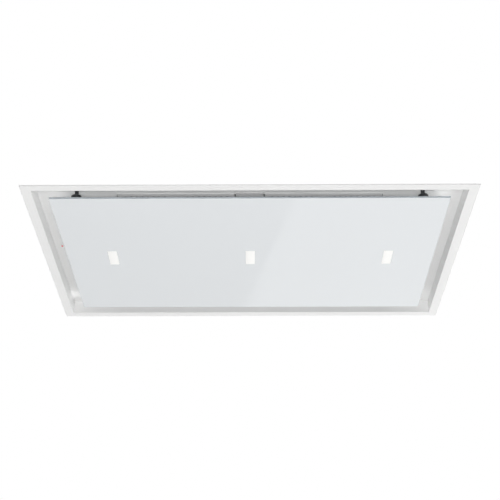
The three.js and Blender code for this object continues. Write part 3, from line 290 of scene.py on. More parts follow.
room_lamps = {  # place, width across, power in watts
    "lamp_front": ((0.0, -2.84, -1.58), 0.5, 60.0),
    "lamp_back_right": ((2.2, 2.2, -2.0), 1.6, 71.0),
    "lamp_back_left": ((-2.2, 2.2, -2.0), 1.6, 34.0),
    "lamp_below": ((0.0, 0.0, -3.2), 12.0, 44.0),
    "lamp_above": ((0.6, -1.8, 3.2), 2.5, 70.0),
    "lamp_above_back": ((-1.6, 2.4, 2.4), 2.5, 36.0),
}
for name, (place, across, power) in room_lamps.items():
    lamp_data = bpy.data.lights.new(name, "AREA")
    lamp_data.shape = "DISK"
    lamp_data.size = across
    lamp_data.energy = power
    room_lamp = bpy.data.objects.new(name, lamp_data)
    room_lamp.location = place
    room_lamp.rotation_euler = (-Vector(place)).to_track_quat("-Z", "Y").to_euler()
    room_lamp.visible_glossy = False
    room_lamp.visible_camera = False
    bpy.context.scene.collection.objects.link(room_lamp)

bpy.context.scene.view_settings.view_transform = "Standard"

# ---------------------------------------------------------------- ceiling frame
# Folded steel sheet: a hemmed flange that lies against the ceiling, and the wall of the recess. The
# corners are mitred, welded and ground flush, and the whole is powder-coated white. The side walls in the
# recess are painted lighter, as painted light, and the hem's outer edge darker, as painted shade.


def grid_faces(rows, columns, wrap_rows=True, wrap_columns=True):
    """Quads of a grid of rows by columns vertices. A wrapped direction joins its last line to its first."""
    row, column = np.meshgrid(np.arange(rows - (not wrap_rows)),
                              np.arange(columns - (not wrap_columns)), indexing="ij")
    next_row, next_column = (row + 1) % rows, (column + 1) % columns
    corners = [row * columns + column, next_row * columns + column,
               next_row * columns + next_column, row * columns + next_column]
    return np.stack(corners, -1).reshape(-1, 4)


def rectangle(half_x, half_y, radius=0.0, steps=5, centre=(0.0, 0.0)):
    """A rectangle's outline and its outward directions. Sharp corners are mitred, so their direction is
    the sum of their two sides' outward directions. Round ones are quarter circles."""
    signs = np.array([(1, 1), (-1, 1), (-1, -1), (1, -1)], float)
    if radius == 0.0:
        return signs * (half_x, half_y) + centre, signs
    angle = np.linspace(0, math.pi / 2, steps + 1) + np.arange(4)[:, None] * math.pi / 2
    outward = np.stack([np.cos(angle), np.sin(angle)], -1)
    middle = signs * (half_x - radius, half_y - radius) + centre
    return (middle[:, None, :] + radius * outward).reshape(-1, 2), outward.reshape(-1, 2)


def carried(profile, outline, outward):
    """A closed profile of (out, up) points carried round a closed outline: each vertex is the outline's
    point, moved out along its outward direction, at the profile's height."""
    profile = np.array(profile)
    flat = outline[:, None, :] + profile[None, :, :1] * outward[:, None, :]
    up = np.broadcast_to(profile[None, :, 1:], (len(outline), len(profile), 1))
    return np.concatenate([flat, up], -1).reshape(-1, 3), [grid_faces(len(outline), len(profile))]


def arc(centre, radius, start, end, steps=4):
    """Points on a circle, from one angle to another in degrees."""
    angle = np.radians(np.linspace(start, end, steps + 1))
    return [(centre[0] + radius * math.cos(a), centre[1] + radius * math.sin(a)) for a in angle]


def enclosed_volume(vertices, faces):
    """Signed volume of a closed surface: a . (b x c) / 6 summed over the triangles that fan each face."""
    total = 0.0
    for block in faces:
        for i in range(1, block.shape[1] - 1):
            a, b, c = (vertices[block[:, j]] for j in (0, i, i + 1))
            total += np.sum(a * np.cross(b, c)) / 6.0
    return total


def crease_large_faces(mesh, ratio=6.0, least_turn=4.0):
    """Marks an edge sharp where a face meets one that many times smaller at more than that angle, so that a
    wide flat face isn't shaded towards its eased edge. The faces are sorted by edge, so that the two faces of
    an edge are neighbours in the list."""
    edge = np.empty(len(mesh.loops), int)
    corners, area = np.empty(len(mesh.polygons), int), np.empty(len(mesh.polygons))
    normal, marked = np.empty(3 * len(mesh.polygons)), np.empty(len(mesh.edges), bool)
    mesh.loops.foreach_get("edge_index", edge)
    mesh.polygons.foreach_get("loop_total", corners)
    mesh.polygons.foreach_get("area", area)
    mesh.polygons.foreach_get("normal", normal)
    mesh.edges.foreach_get("use_edge_sharp", marked)
    face = np.repeat(np.arange(len(corners)), corners)
    order = np.argsort(edge, kind="stable")
    edge, face = edge[order], face[order]
    pair = np.flatnonzero(edge[1:] == edge[:-1])
    one, two = face[pair], face[pair + 1]
    normal = normal.reshape(-1, 3)
    turned_away = np.sum(normal[one] * normal[two], 1) < math.cos(math.radians(least_turn))
    larger, smaller = np.maximum(area[one], area[two]), np.minimum(area[one], area[two])
    marked[edge[pair[turned_away & (larger > ratio * smaller)]]] = True
    mesh.edges.foreach_set("use_edge_sharp", marked)


def finished(mesh, name, finish, body, slot, replaced=(), sharp=35.0):
    """Puts a mesh into the scene as a piece of the hood, smooth except where faces turn sharply."""
    mesh.update()
    mesh.shade_smooth()
    mesh.set_sharp_from_angle(angle=math.radians(sharp))
    crease_large_faces(mesh)
    mesh.materials.clear()
    mesh.materials.append(finish.material)
    made = bpy.data.objects.new(name, mesh)
    bpy.context.scene.collection.objects.link(made)
    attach(made, body)
    if replaced:
        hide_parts(*replaced)
    return made


def make_piece(name, surfaces, finish, body, slot, replaced=()):
    """One object from closed surfaces, each turned so that its faces point outwards."""
    points, faces, start = [], [], 0
    for vertices, blocks in surfaces:
        flip = enclosed_volume(vertices, blocks) < 0
        points.append(vertices)
        faces += [(start + (block[:, ::-1] if flip else block)).tolist() for block in blocks]
        start += len(vertices)
    mesh = bpy.data.meshes.new(name)
    mesh.from_pydata(np.concatenate(points).tolist(), [], [face for block in faces for face in block])
    return finished(mesh, name, finish, body, slot, replaced)


slot_of = {row["node"]: row["material_slot"] for row in frame["record"]["subparts"]}
body_of = {node: body for body, nodes in frame["record"]["behaviour"]["bodies"].items() for node in nodes}


def dress(node, surfaces, finish, name=None):
    """Closed surfaces as the piece that stands for a node, on that node's body."""
    return make_piece(name or f"dressed_{node}", surfaces, finish, body_of[node], slot_of[node], [node])


frame_low, frame_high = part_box("ceiling_frame")
tray_low, tray_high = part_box("tray_plate")
frame_sheet = 0.0015
frame_bend = 0.0012
inner_bend = 0.0006
recess_half = (tray_high.x - frame_sheet, tray_high.y - frame_sheet)
flange_width = frame_high.x - recess_half[0]
hem_radius = -frame_low.z / 2
hem_shade_band = 0.0007

powder_coat = Finish("white_powder_coat", (0.82, 0.82, 0.815), 0.42)
cloud = powder_coat.grain(6.0, 3.0)
peel = powder_coat.grain(420.0, 2.0)
speck = powder_coat.grain(2600.0, 1.0)
# The hem's outermost band is painted darker: painted shade along the flange's outer edge.
hem_shade_share = (abs(powder_coat.along("X")) > frame_high.x - hem_shade_band).larger(
    abs(powder_coat.along("Y")) > frame_high.y - hem_shade_band)
# The side walls in the recess are painted lighter than the flange: painted light.
side_wall_light_share = (powder_coat.along("Z") > frame_low.z + frame_bend) * (
    abs(powder_coat.along("X")) < recess_half[0] + frame_sheet / 2) * (
    abs(powder_coat.along("Y")) < recess_half[1] - frame_sheet / 2)
coat = powder_coat.blend(cloud, (0.810, 0.811, 0.807), (0.836, 0.836, 0.833))
coat = powder_coat.blend(side_wall_light_share, coat, (0.92, 0.92, 0.916))
powder_coat.paint("Base Color", powder_coat.blend(hem_shade_share, coat, (0.76, 0.76, 0.76)))
powder_coat.paint("Roughness", 0.36 + peel * 0.10 + speck * 0.06)
powder_coat.relief(peel + speck * 0.3, 0.00004)

frame_profile = [
    (0.0, frame_high.z),
    *arc((frame_bend, frame_low.z + frame_bend), frame_bend, 180, 270),
    *arc((flange_width - hem_radius, frame_low.z + hem_radius), hem_radius, -90, 90, 8),
    *arc((frame_sheet + inner_bend, inner_bend), inner_bend, 270, 180),
    (frame_sheet, frame_high.z),
]
dress("ceiling_frame", [carried(frame_profile, *rectangle(*recess_half))], powder_coat)

# ---------------------------------------------------------------- tray
# The recess's roof: one coil-coated white steel sheet with a punched opening for the filters, two holes for
# the studs and one for the indicator. Its white is set lighter than the frame's coat, as painted light.


def hole(outline, outward):
    """The same outline as the edge of a hole: its material lies outside it."""
    return outline, -outward


def circle(radius, centre=(0.0, 0.0), steps=32):
    """A circle's outline and its outward directions."""
    angle = np.arange(steps) * 2 * math.pi / steps
    outward = np.stack([np.cos(angle), np.sin(angle)], -1)
    return radius * outward + centre, outward


def inside(points, polygon):
    """Which points a polygon holds: those with an odd number of its sides to their right."""
    x, y = points[:, :1], points[:, 1:]
    x0, y0 = polygon[None, :, 0], polygon[None, :, 1]
    x1, y1 = np.roll(x0, -1, 1), np.roll(y0, -1, 1)
    crosses = (y0 > y) != (y1 > y)
    rise = np.where(y1 == y0, 1e-12, y1 - y0)
    return (np.sum(crosses & (x < x0 + (y - y0) * (x1 - x0) / rise), 1) % 2).astype(bool)


def plate(outlines, low, high, edge=0.0003, steps=2):
    """A flat plate between two heights. The first outline bounds it and the rest are its holes. Every edge
    is eased by a quarter arc, and the two faces share one triangulation between the outlines."""
    edge = min(edge, (high - low) / 2)
    quarter = np.linspace(0, math.pi / 2, steps + 1)
    ease = np.stack([edge * (np.sin(quarter) - 1), edge * (1 - np.cos(quarter))], -1)
    rim = np.concatenate([ease + (0, low), ease[::-1] * (1, -1) + (0, high)])
    points, blocks, bottoms, sides, start, first = [], [], [], [], 0, 0
    for outline, outward in outlines:
        count = len(outline)
        flat = outline[:, None, :] + rim[None, :, :1] * outward[:, None, :]
        up = np.broadcast_to(rim[None, :, 1:], (count, len(rim), 1))
        points.append(np.concatenate([flat, up], -1).reshape(-1, 3))
        faces = start + grid_faces(count, len(rim), True, False)
        turn = np.cross(np.roll(outline, -1, 0) - outline, outward).sum()
        blocks.append(faces[:, ::-1] if turn > 0 else faces)
        bottoms.append(start + np.arange(count) * len(rim))
        sides += [(first + i, first + (i + 1) % count) for i in range(count)]
        start += count * len(rim)
        first += count
    index = np.concatenate(bottoms)
    vertices = np.concatenate(points)
    found, _, triangles, origin = delaunay_2d_cdt(
        [Vector(p) for p in vertices[index, :2]], sides, [], 1, 1e-7)[:4]
    triangles = np.array(triangles)
    centres = np.array([p[:] for p in found])[triangles].mean(1)
    keep = inside(centres, vertices[bottoms[0], :2])
    for loop in bottoms[1:]:
        keep &= ~inside(centres, vertices[loop, :2])
    bottom = index[np.array([o[0] for o in origin])[triangles[keep]]]
    across = vertices[bottom[:, 1], :2] - vertices[bottom[:, 0], :2]
    along = vertices[bottom[:, 2], :2] - vertices[bottom[:, 0], :2]
    if np.cross(across, along).sum() > 0:
        bottom = bottom[:, ::-1]
    return vertices, [*blocks, bottom, bottom[:, ::-1] + len(rim) - 1]


def middle_of(node):
    """The middle of a node's box."""
    low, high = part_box(node)
    return (low + high) / 2


bar_low, bar_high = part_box("filter_divider")
bar_overlap = 0.0035
filter_gap = 0.0016
tray_opening = (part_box("filter_frame_right")[1].x + filter_gap, bar_high.y - bar_overlap)
stud_hole = 0.0075
lens_hole = 0.0025
tray_corner = 0.001
opening_corner = 0.003
tray_edge = 0.0004
stud_places = {side: middle_of(f"latch_stud_{side}")[:2] for side in ("left", "right")}
tray_outlines = [
    rectangle(tray_high.x, tray_high.y, tray_corner),
    hole(*rectangle(*tray_opening, opening_corner)),
    *(hole(*circle(stud_hole, place)) for place in stud_places.values()),
    hole(*circle(lens_hole, middle_of("indicator_lens")[:2])),
]
# The tray's white is lighter than the frame's coat: painted light on the recess roof.
lit_tray_coat = Finish("white_tray_coat_painted_light", (0.93, 0.93, 0.925), 0.34).grained(
    90.0, 3.0, (1.0, 0.06, 1.0), colours=((0.925, 0.926, 0.921), (0.945, 0.946, 0.941)),
    roughness=(0.30, 0.08), depth=0.00002)
dress("tray_plate", [plate(tray_outlines, tray_low.z, tray_high.z, tray_edge)], lit_tray_coat, "dressed_tray")

# ---------------------------------------------------------------- glass panel
# Toughened float glass painted white on its back, with ground and polished edges and a window for each
# lamp. The pale blue-green of the glass shows at the edges.

glass_low, glass_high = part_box("glass_panel")
glass_corner = 0.002
glass_arris = 0.0005
lamp_sides = ("left", "centre", "right")
lamp_places = {side: middle_of(f"lamp_lens_{side}").x for side in lamp_sides}
window_half = (0.0103, 0.0303)
window_corner = 0.0015

white_glass = Finish("back_painted_glass", (0.74, 0.765, 0.785), 0.03)
arris_share = 0.9
rim_share = (abs(white_glass.along("X")) > glass_high.x - glass_arris * arris_share).larger(
    abs(white_glass.along("Y")) > glass_high.y - glass_arris * arris_share)
pane = white_glass.blend(white_glass.grain(1.5, 1.0), (0.748, 0.772, 0.790), (0.763, 0.787, 0.807))
white_glass.paint("Base Color", white_glass.blend(rim_share, pane, (0.40, 0.44, 0.475)))
white_glass.paint("Roughness", 0.02 + rim_share * 0.12 + white_glass.grain(30.0, 3.0) * 0.02)

glass_outlines = [
    rectangle(glass_high.x, glass_high.y, glass_corner),
    *(hole(*rectangle(*window_half, window_corner, 4, (x, 0.0))) for x in lamp_places.values()),
]
dress("glass_panel", [plate(glass_outlines, glass_low.z, glass_high.z, glass_arris, 1)], white_glass)

# ---------------------------------------------------------------- lamps
# Frosted acrylic lenses pressed into the glass's windows, flush with its face. Strips of diodes in
# die-cast bodies with cooling fins light them evenly from behind.


def softened(node, finish, ease=0.0004, least_turn=38.0):
    """A copy of a CAD node with eased edges. Its loose triangles are merged, its flat faces are joined, and
    each edge where two faces turn by more than that angle gets a small round of two segments."""
    work = bmesh.new()
    work.from_mesh(frame["nodes"][node].data)
    bmesh.ops.remove_doubles(work, verts=work.verts, dist=1e-6)
    bmesh.ops.dissolve_limit(work, angle_limit=math.radians(1.0), verts=work.verts, edges=work.edges)
    turns = [edge for edge in work.edges
             if len(edge.link_faces) == 2 and edge.calc_face_angle() > math.radians(least_turn)]
    bmesh.ops.bevel(work, geom=turns, offset=ease, segments=2, profile=0.5, affect="EDGES",
                    clamp_overlap=True)
    mesh = bpy.data.meshes.new(f"dressed_{node}")
    work.to_mesh(mesh)
    work.free()
    return finished(mesh, f"dressed_{node}", finish, body_of[node], slot_of[node], [node])


lens_glow = 0.18
lamp_lens = Finish("frosted_lens", (0.78, 0.78, 0.765), 0.32)
lamp_lens.glow((1.0, 0.995, 0.975), lens_glow)
lamp_lens.grained(3000.0, 1.0, depth=0.00002)

cast_aluminium = Finish("cast_aluminium", (0.46, 0.47, 0.48), 0.55, 1.0).grained(
    900.0, 3.0, colours=((0.40, 0.41, 0.42), (0.52, 0.53, 0.54)), roughness=(0.46, 0.2), depth=0.00006)

lens_half = (0.010, 0.030)
lens_ledge = 0.003
lens_ledge_height = 0.0012
lens_corner = 0.0013
ledge_corner = 0.002
ledge_half = [half + lens_ledge for half in lens_half]
for side, x in lamp_places.items():
    low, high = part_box(f"lamp_lens_{side}")
    shoulder = high.z - lens_ledge_height
    plug = plate([rectangle(*lens_half, lens_corner, 4, (x, 0.0))], low.z, shoulder)
    ledge = plate([rectangle(*ledge_half, ledge_corner, 4, (x, 0.0))], shoulder, high.z)
    dress(f"lamp_lens_{side}", [plug, ledge], lamp_lens)
    softened(f"lamp_body_{side}", cast_aluminium, 0.0003)

# ---------------------------------------------------------------- carrier
# Pressed galvanised plate bonded to the back of the glass, with an upturned rim and two large windows. It
# holds the lamps and stiffens the panel.

galvanised = Finish("galvanised_sheet", (0.55, 0.57, 0.58), 0.4, 1.0)
spangle = galvanised.node("ShaderNodeTexVoronoi", {}, {"Vector": galvanised.place(), "Scale": 110.0})
flake = galvanised.node("ShaderNodeSeparateColor", {}, {"Color": spangle["Color"]})
galvanised.paint("Base Color", galvanised.blend(flake["Red"], (0.52, 0.54, 0.55), (0.62, 0.64, 0.65)))
galvanised.paint("Roughness", 0.32 + flake["Green"] * 0.12)
galvanised.relief(flake["Blue"], 0.00001)

softened("panel_carrier", galvanised, 0.0003)

# ---------------------------------------------------------------- latch studs and magnets
# Black moulded studs with a bell-shaped foot, bonded to the glass. A steel tip goes up through the tray
# to a magnet in a moulded box.


def turned(profile, centre=(0.0, 0.0), segments=40):
    """A profile of (radius, height) points turned about an upright axis. Where it starts and ends on the
    axis, a fan closes each pole. Otherwise it closes on itself."""
    profile = np.array(profile)
    poles = profile[0, 0] == 0.0 and profile[-1, 0] == 0.0
    wall = profile[1:-1] if poles else profile
    angle = np.arange(segments)[:, None] * 2 * math.pi / segments
    ring = np.stack([wall[:, 0] * np.cos(angle), wall[:, 0] * np.sin(angle),
                     np.broadcast_to(wall[:, 1], (segments, len(wall)))], -1)
    vertices = ring.reshape(-1, 3)
    blocks = [grid_faces(segments, len(wall), True, not poles)]
    if poles:
        first = np.arange(segments) * len(wall)
        after = np.roll(first, -1)
        last = len(wall) - 1
        count = len(vertices)
        blocks.append(np.stack([after, first, np.full(segments, count)], -1))
        blocks.append(np.stack([first + last, after + last, np.full(segments, count + 1)], -1))
        vertices = np.concatenate([vertices, [[0, 0, profile[0, 1]], [0, 0, profile[-1, 1]]]])
    return vertices + (*centre, 0.0), blocks


black_plastic = Finish("black_moulding", (0.022, 0.023, 0.026), 0.42).grained(
    1800.0, 2.0, roughness=(0.34, 0.16), depth=0.00002)
bright_steel = Finish("turned_steel", (0.55, 0.55, 0.56), 0.28, 1.0).grained(
    1400.0, 1.0, (0.05, 0.05, 1.0), colours=((0.50, 0.50, 0.51), (0.60, 0.60, 0.61)),
    roughness=(0.22, 0.14), depth=0.00001)

stud_shoulder_height = 0.007
stud_flare_height = 0.0056
stud_taper = 0.0006
foot_edge = 0.0004
stem_radius = 0.004
tip_radius = 0.0046
tip_chamfer = 0.0005
bond_gap = 0.00005
for side, place in stud_places.items():
    low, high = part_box(f"latch_stud_{side}")
    foot_radius = (high.x - low.x) / 2
    shoulder_radius = foot_radius - stud_taper
    bell = np.linspace(0.0, 1.0, 13)
    # the bell is half a cosine wave from the shoulder in to the stem
    flare = np.stack([stem_radius + (shoulder_radius - stem_radius) * (1 + np.cos(math.pi * bell)) / 2,
                      low.z + stud_shoulder_height + stud_flare_height * bell], -1)
    stem_top = (flare[-1, 1] + high.z) / 2
    stem_end = stem_top - tip_chamfer
    stud_profile = [(0.0, low.z), (foot_radius - foot_edge, low.z), (foot_radius, low.z + foot_edge), *flare,
                    (stem_radius, stem_end), (0.0, stem_end)]
    tip_profile = [(0.0, stem_end + bond_gap), (stem_radius, stem_end + bond_gap), (tip_radius, stem_top),
                   *arc((tip_radius - tip_chamfer, high.z - tip_chamfer), tip_chamfer, 0, 90, 3),
                   (0.0, high.z)]
    dress(f"latch_stud_{side}", [turned(stud_profile, place)], black_plastic)
    make_piece(f"stud_tip_{side}", [turned(tip_profile, place)], bright_steel, "panel", "hinge_steel")
    softened(f"magnet_catch_{side}", black_plastic, 0.0006)

# ---------------------------------------------------------------- hinges
# A pressed steel arm is bonded to the glass at each side and curls round a headed pin. The bracket under
# the tray is held by two rivets, and so is the arm's foot.


def facing(surface, place, axis, sense=1):
    """A surface whose height lies along one axis of the hood, up or down it by sense, moved to a place. Its
    own first two axes take the next two of X, Y, Z in turn."""
    vertices, blocks = surface
    laid = np.empty_like(vertices)
    laid[:, axis] = vertices[:, 2] * sense
    laid[:, (axis + 1) % 3] = vertices[:, 0]
    laid[:, (axis + 2) % 3] = vertices[:, 1]
    return laid + np.array(place), blocks


def rivet_head(radius, height):
    """A low dome on a straight edge a quarter of its height: a quarter ellipse, cut off near its top."""
    dome = [(radius * math.cos(a), height * (0.25 + 0.75 * math.sin(a))) for a in np.linspace(0, 1.4, 6)]
    return turned([(0.0, 0.0), (radius, 0.0), *dome, (0.0, height)], segments=20)


def fasteners(name, surfaces, body="hood"):
    """Screws, rivets or bolts of bright steel in one piece."""
    return make_piece(name, surfaces, bright_steel, body, "hinge_steel")


rivet_radius = 0.0028
rivet_height = 0.0011
knuckle_bore = 0.0033
pin_clearance = 0.0003
pin_head_length = 0.0016
pin_ease = 0.0004
hinge_sheet = 0.002
rivet_reach = 0.006
arm_rivet_inset = 0.012
bracket_rivet_inset = 0.005
for side in ("left", "right"):
    softened(f"hinge_arm_{side}", bright_steel, 0.0003)
    softened(f"hinge_bracket_{side}", galvanised, 0.0003)
    pin_low, pin_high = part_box(f"hinge_pin_{side}")
    pin_middle = (pin_low + pin_high) / 2
    reach = (pin_high.x - pin_low.x) / 2
    pin_radius = knuckle_bore - pin_clearance
    head_radius = (pin_high.z - pin_low.z) / 2
    pin_profile = [(0.0, -reach), (head_radius - pin_ease, -reach), (head_radius, -reach + pin_ease),
                   (head_radius, pin_head_length - reach), (pin_radius, pin_head_length - reach),
                   (pin_radius, reach - pin_ease), (pin_radius - pin_ease, reach), (0.0, reach)]
    dress(f"hinge_pin_{side}", [facing(turned(pin_profile, segments=28), pin_middle, 0)], bright_steel)
    arm_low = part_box(f"hinge_arm_{side}")[0]
    bracket_low, bracket_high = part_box(f"hinge_bracket_{side}")
    for part, body, y, z, sense in (
            ("arm", "panel", arm_low.y + arm_rivet_inset, arm_low.z + hinge_sheet, 1),
            ("bracket", "hood", bracket_low.y + bracket_rivet_inset, bracket_high.z - hinge_sheet, -1)):
        fasteners(f"hinge_{part}_rivets_{side}", [
            facing(rivet_head(rivet_radius, rivet_height), (pin_middle.x + shift, y, z), 2, sense)
            for shift in (-rivet_reach, rivet_reach)], body)

# ---------------------------------------------------------------- filters
# Each grease filter is a mitred stainless channel round a pleated aluminium mesh pack, with a thin rim
# along its front and a sheet of long slots below. The grip of its sliding latch comes through that sheet.


def slot_outline(centre, half_width, half_length, steps=6):
    """A slot along Y with round ends, and its outward directions."""
    angle = np.concatenate([np.linspace(0, math.pi, steps + 1), np.linspace(math.pi, 2 * math.pi, steps + 1)])
    outward = np.stack([np.cos(angle), np.sin(angle)], -1)
    shift = np.repeat([half_length - half_width, half_width - half_length], steps + 1)
    return outward * half_width + np.stack([np.zeros_like(shift), shift], -1) + centre, outward


def prism(outline, low, high):
    """A closed outline carried straight up from one height to another, with a flat face at each end."""
    count = len(outline)
    flat = np.broadcast_to(np.array(outline)[None], (2, count, 2))
    up = np.broadcast_to(np.array([low, high])[:, None, None], (2, count, 1))
    ring = np.arange(count)
    return np.concatenate([flat, up], -1).reshape(-1, 3), [
        grid_faces(2, count, False, True), ring[None, :], ring[None, ::-1] + count]


def brushed(name, shade, metallic):
    """A satin stainless finish with fine brush lines along Y."""
    return Finish(name, (shade, shade, shade), 0.42, metallic).grained(
        900.0, 2.0, (1.0, 0.012, 1.0), colours=((shade - 0.05,) * 3, (shade + 0.05,) * 3),
        roughness=(0.36, 0.16), depth=0.00001)


brushed_steel = brushed("brushed_stainless", 0.84, 0.10)

mesh_metal = Finish("expanded_aluminium", (0.52, 0.52, 0.52), 0.45, 1.0)
weave_x = (mesh_metal.along("X") * 2600.0).sine()
weave_y = (mesh_metal.along("Y") * 1700.0).sine()
lattice = abs(weave_x * weave_y)
mesh_metal.vary(lattice, ((0.62, 0.62, 0.62), (0.12, 0.12, 0.12)), (0.4, 0.2), 0.0004)

grey_plastic = Finish("grey_moulding", (0.16, 0.165, 0.175), 0.45).grained(
    1500.0, 2.0, roughness=(0.38, 0.18), depth=0.00002)

in_place = (0.0, 0.0, 0.0)
slot_pitch = 0.0115
slot_half_width = 0.002
slot_rows = 2
slot_bridge = 0.012
slot_margin = 0.001
channel_sheet = 0.001
channel_lip = 0.007
channel_bend = 0.0009
front_rim_width = 0.0068
front_rim = (bar_low.y, bar_low.y + front_rim_width)
front_rim_sheet = 0.0005
front_rim_drop = 0.0002
latch_tongue = 0.008
latch_length = 0.030
latch_travel = 0.007
latch_clearance = 0.0016
grip_half = 0.0103
grip_depth = 0.0046
grip_corner = 0.001
pleat_count = 38
pleat_sheet = 0.0008
pleat_notch = 0.002

for side in ("left", "right"):
    low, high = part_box(f"filter_frame_{side}")
    face_low, face_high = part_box(f"filter_face_{side}")
    middle_x = (face_low.x + face_high.x) / 2
    half_x, half_y = (high.x - low.x) / 2, -low.y
    channel = [(-channel_lip, low.z + channel_sheet), (-channel_lip, low.z),
               *arc((-channel_bend, low.z + channel_bend), channel_bend, -90, 0, 3),
               *arc((-channel_bend, high.z - channel_bend), channel_bend, 0, 90, 3),
               (-channel_lip, high.z), (-channel_lip, high.z - channel_sheet),
               (-channel_sheet, high.z - channel_sheet), (-channel_sheet, low.z + channel_sheet)]
    rim_top = low.z - front_rim_drop
    rim = rectangle(half_x, (front_rim[1] - front_rim[0]) / 2, centre=(middle_x, sum(front_rim) / 2))
    dress(f"filter_frame_{side}", [
        carried(channel, *rectangle(half_x, half_y, centre=(middle_x, 0.0))),
        plate([rim], rim_top - front_rim_sheet, rim_top)], brushed_steel)

    latch_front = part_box(f"filter_latch_{side}")[0].y + latch_tongue + latch_clearance
    latch_back = latch_front + latch_length
    slot_half = (2 * (half_y - channel_lip - slot_margin) - (slot_rows - 1) * slot_bridge) / slot_rows / 2
    columns = 2 * int((half_x - channel_lip - slot_pitch / 2) / slot_pitch) + 1
    grip_slot = rectangle(grip_half, (grip_depth + latch_travel) / 2, grip_corner, 3,
                          (middle_x, latch_front + (latch_length + latch_travel) / 2))
    outlines = [rectangle((face_high.x - face_low.x) / 2, face_high.y, centre=(middle_x, 0.0)),
                hole(*grip_slot)]
    for column in range(columns):
        x = (column - (columns - 1) / 2) * slot_pitch
        for row in range(slot_rows):
            y = (row - (slot_rows - 1) / 2) * (2 * slot_half + slot_bridge)
            half = slot_half
            if row == 0 and abs(x) < grip_half + slot_pitch / 2:
                span = latch_back + channel_lip - (y - half)
                half, y = half - span / 2, y + span / 2
            outlines.append(hole(*slot_outline((middle_x + x, y), slot_half_width, half)))
    dress(f"filter_face_{side}", [plate(outlines, face_low.z, face_high.z)], brushed_steel)

    low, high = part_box(f"filter_mesh_{side}")
    across = np.linspace(low.x, high.x, pleat_count * 8 + 1)
    swing = (high.z - low.z - pleat_sheet) / 2
    phase = (across - low.x) / (high.x - low.x) * pleat_count * 2 * math.pi
    fold = (low.z + high.z - pleat_sheet) / 2 - swing * np.cos(phase)
    strip = np.concatenate([np.stack([fold, across], -1), np.stack([fold + pleat_sheet, across], -1)[::-1]])
    pleats = facing(prism(strip, latch_back + latch_travel + pleat_notch, high.y), in_place, 1)
    dress(f"filter_mesh_{side}", [pleats], mesh_metal)
    softened(f"filter_latch_{side}", grey_plastic, 0.0005)

# ---------------------------------------------------------------- bar between the filters
# A thick flat stainless strip with two folded webs, hooked over the tray's edge at both ends. Its ends are
# painted darker, as painted shade.

bar_steel = brushed("brushed_bar", 0.84, 0.10)
# Both ends of the bar are painted darker: painted shade.
end_shade_depth = 0.0006
end_shade_share = abs(bar_steel.along("Y")) > bar_high.y - end_shade_depth
bar_steel.paint("Base Color", bar_steel.blend(end_shade_share, (0.74, 0.74, 0.745), (0.36, 0.36, 0.365)))
softened("filter_divider", bar_steel, 0.0005)

# ---------------------------------------------------------------- casing
# A folded galvanised box above the tray, screwed down by its foot flange and closed by a lid with a pressed
# centre. A shelf screwed between its walls carries the blower.


def pan_head(radius, height):
    """A domed screw head: an upright edge, then a quarter ellipse to the middle. Two crossed bars of its top
    are pressed in by half its height."""
    share = np.array([1.0, 0.97, 0.88, 0.74, 0.6, 0.46, 0.3, 0.14])
    dome = [(radius * s, height * (0.3 + 0.7 * math.sqrt(1 - s * s))) for s in share]
    vertices, blocks = turned([(0.0, 0.0), (radius, 0.0), *dome, (0.0, height)], segments=24)
    near, far = np.sort(np.abs(vertices[:, :2]), 1).T
    pressed = (near < 0.17 * radius) & (far < 0.65 * radius) & (vertices[:, 2] > 0.5 * height)
    vertices[pressed, 2] -= 0.5 * height
    return vertices, blocks


def screws(name, places, radius, axis=2, sense=1):
    """Screw heads of one size in one piece, all facing along one axis."""
    head = pan_head(radius, 0.55 * radius)
    return fasteners(name, [facing(head, place, axis, sense) for place in places])


def round_the_edge(half_x, half_y, level, count_x=6, count_y=5):
    """Places at even steps along a rectangle's four sides, none of them on a corner."""
    along_x = ((np.arange(count_x) + 0.5) / count_x * 2 - 1) * half_x
    along_y = ((np.arange(count_y) + 0.5) / count_y * 2 - 1) * half_y
    return [(x, side * half_y, level) for x in along_x for side in (-1, 1)] + [
        (side * half_x, y, level) for y in along_y for side in (-1, 1)]


casing_sheet = 0.0012
casing_flange = 0.012
casing_screw = 0.0035
casing_low, casing_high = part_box("casing_shell")
casing_half = [casing_high[i] - casing_flange for i in (0, 1)]
lid_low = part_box("casing_lid")[0]
shelf_rim_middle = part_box("fan_shelf")[0].z + 0.005
shelf_screw_places = (-0.20, -0.07, 0.07, 0.20)

softened("casing_shell", galvanised, 0.0005)
softened("casing_lid", galvanised, 0.0005)
softened("fan_shelf", galvanised, 0.0004)
screws("casing_foot_screws", round_the_edge(
    *(half + casing_flange / 2 for half in casing_half), casing_low.z + casing_sheet), casing_screw)
screws("casing_lid_screws", round_the_edge(
    *(half - casing_flange / 2 for half in casing_half), lid_low.z + casing_sheet), casing_screw)
for side, sense in (("front", -1), ("back", 1)):
    screws(f"shelf_screws_{side}", [
        (x, sense * casing_half[1], shelf_rim_middle) for x in shelf_screw_places], casing_screw, 1, sense)

# ---------------------------------------------------------------- hanging brackets
# Folded galvanised angles with two gussets, on the casing's long sides. Two flanged bolts in upright slots
# set their height, and a threaded rod hangs each one from the structure above.


def flanged_bolt(radius, height):
    """A six-sided head with a turned-off crown, on a round flange."""
    flange = turned([(0.0, 0.0), (radius * 1.35, 0.0), (radius * 1.35, height * 0.2),
                     (radius, height * 0.3), (0.0, height * 0.3)], segments=24)
    head = turned([(0.0, height * 0.25), (radius, height * 0.25), (radius, height * 0.88),
                   (radius * 0.88, height), (0.0, height)], segments=6)
    return flange, head


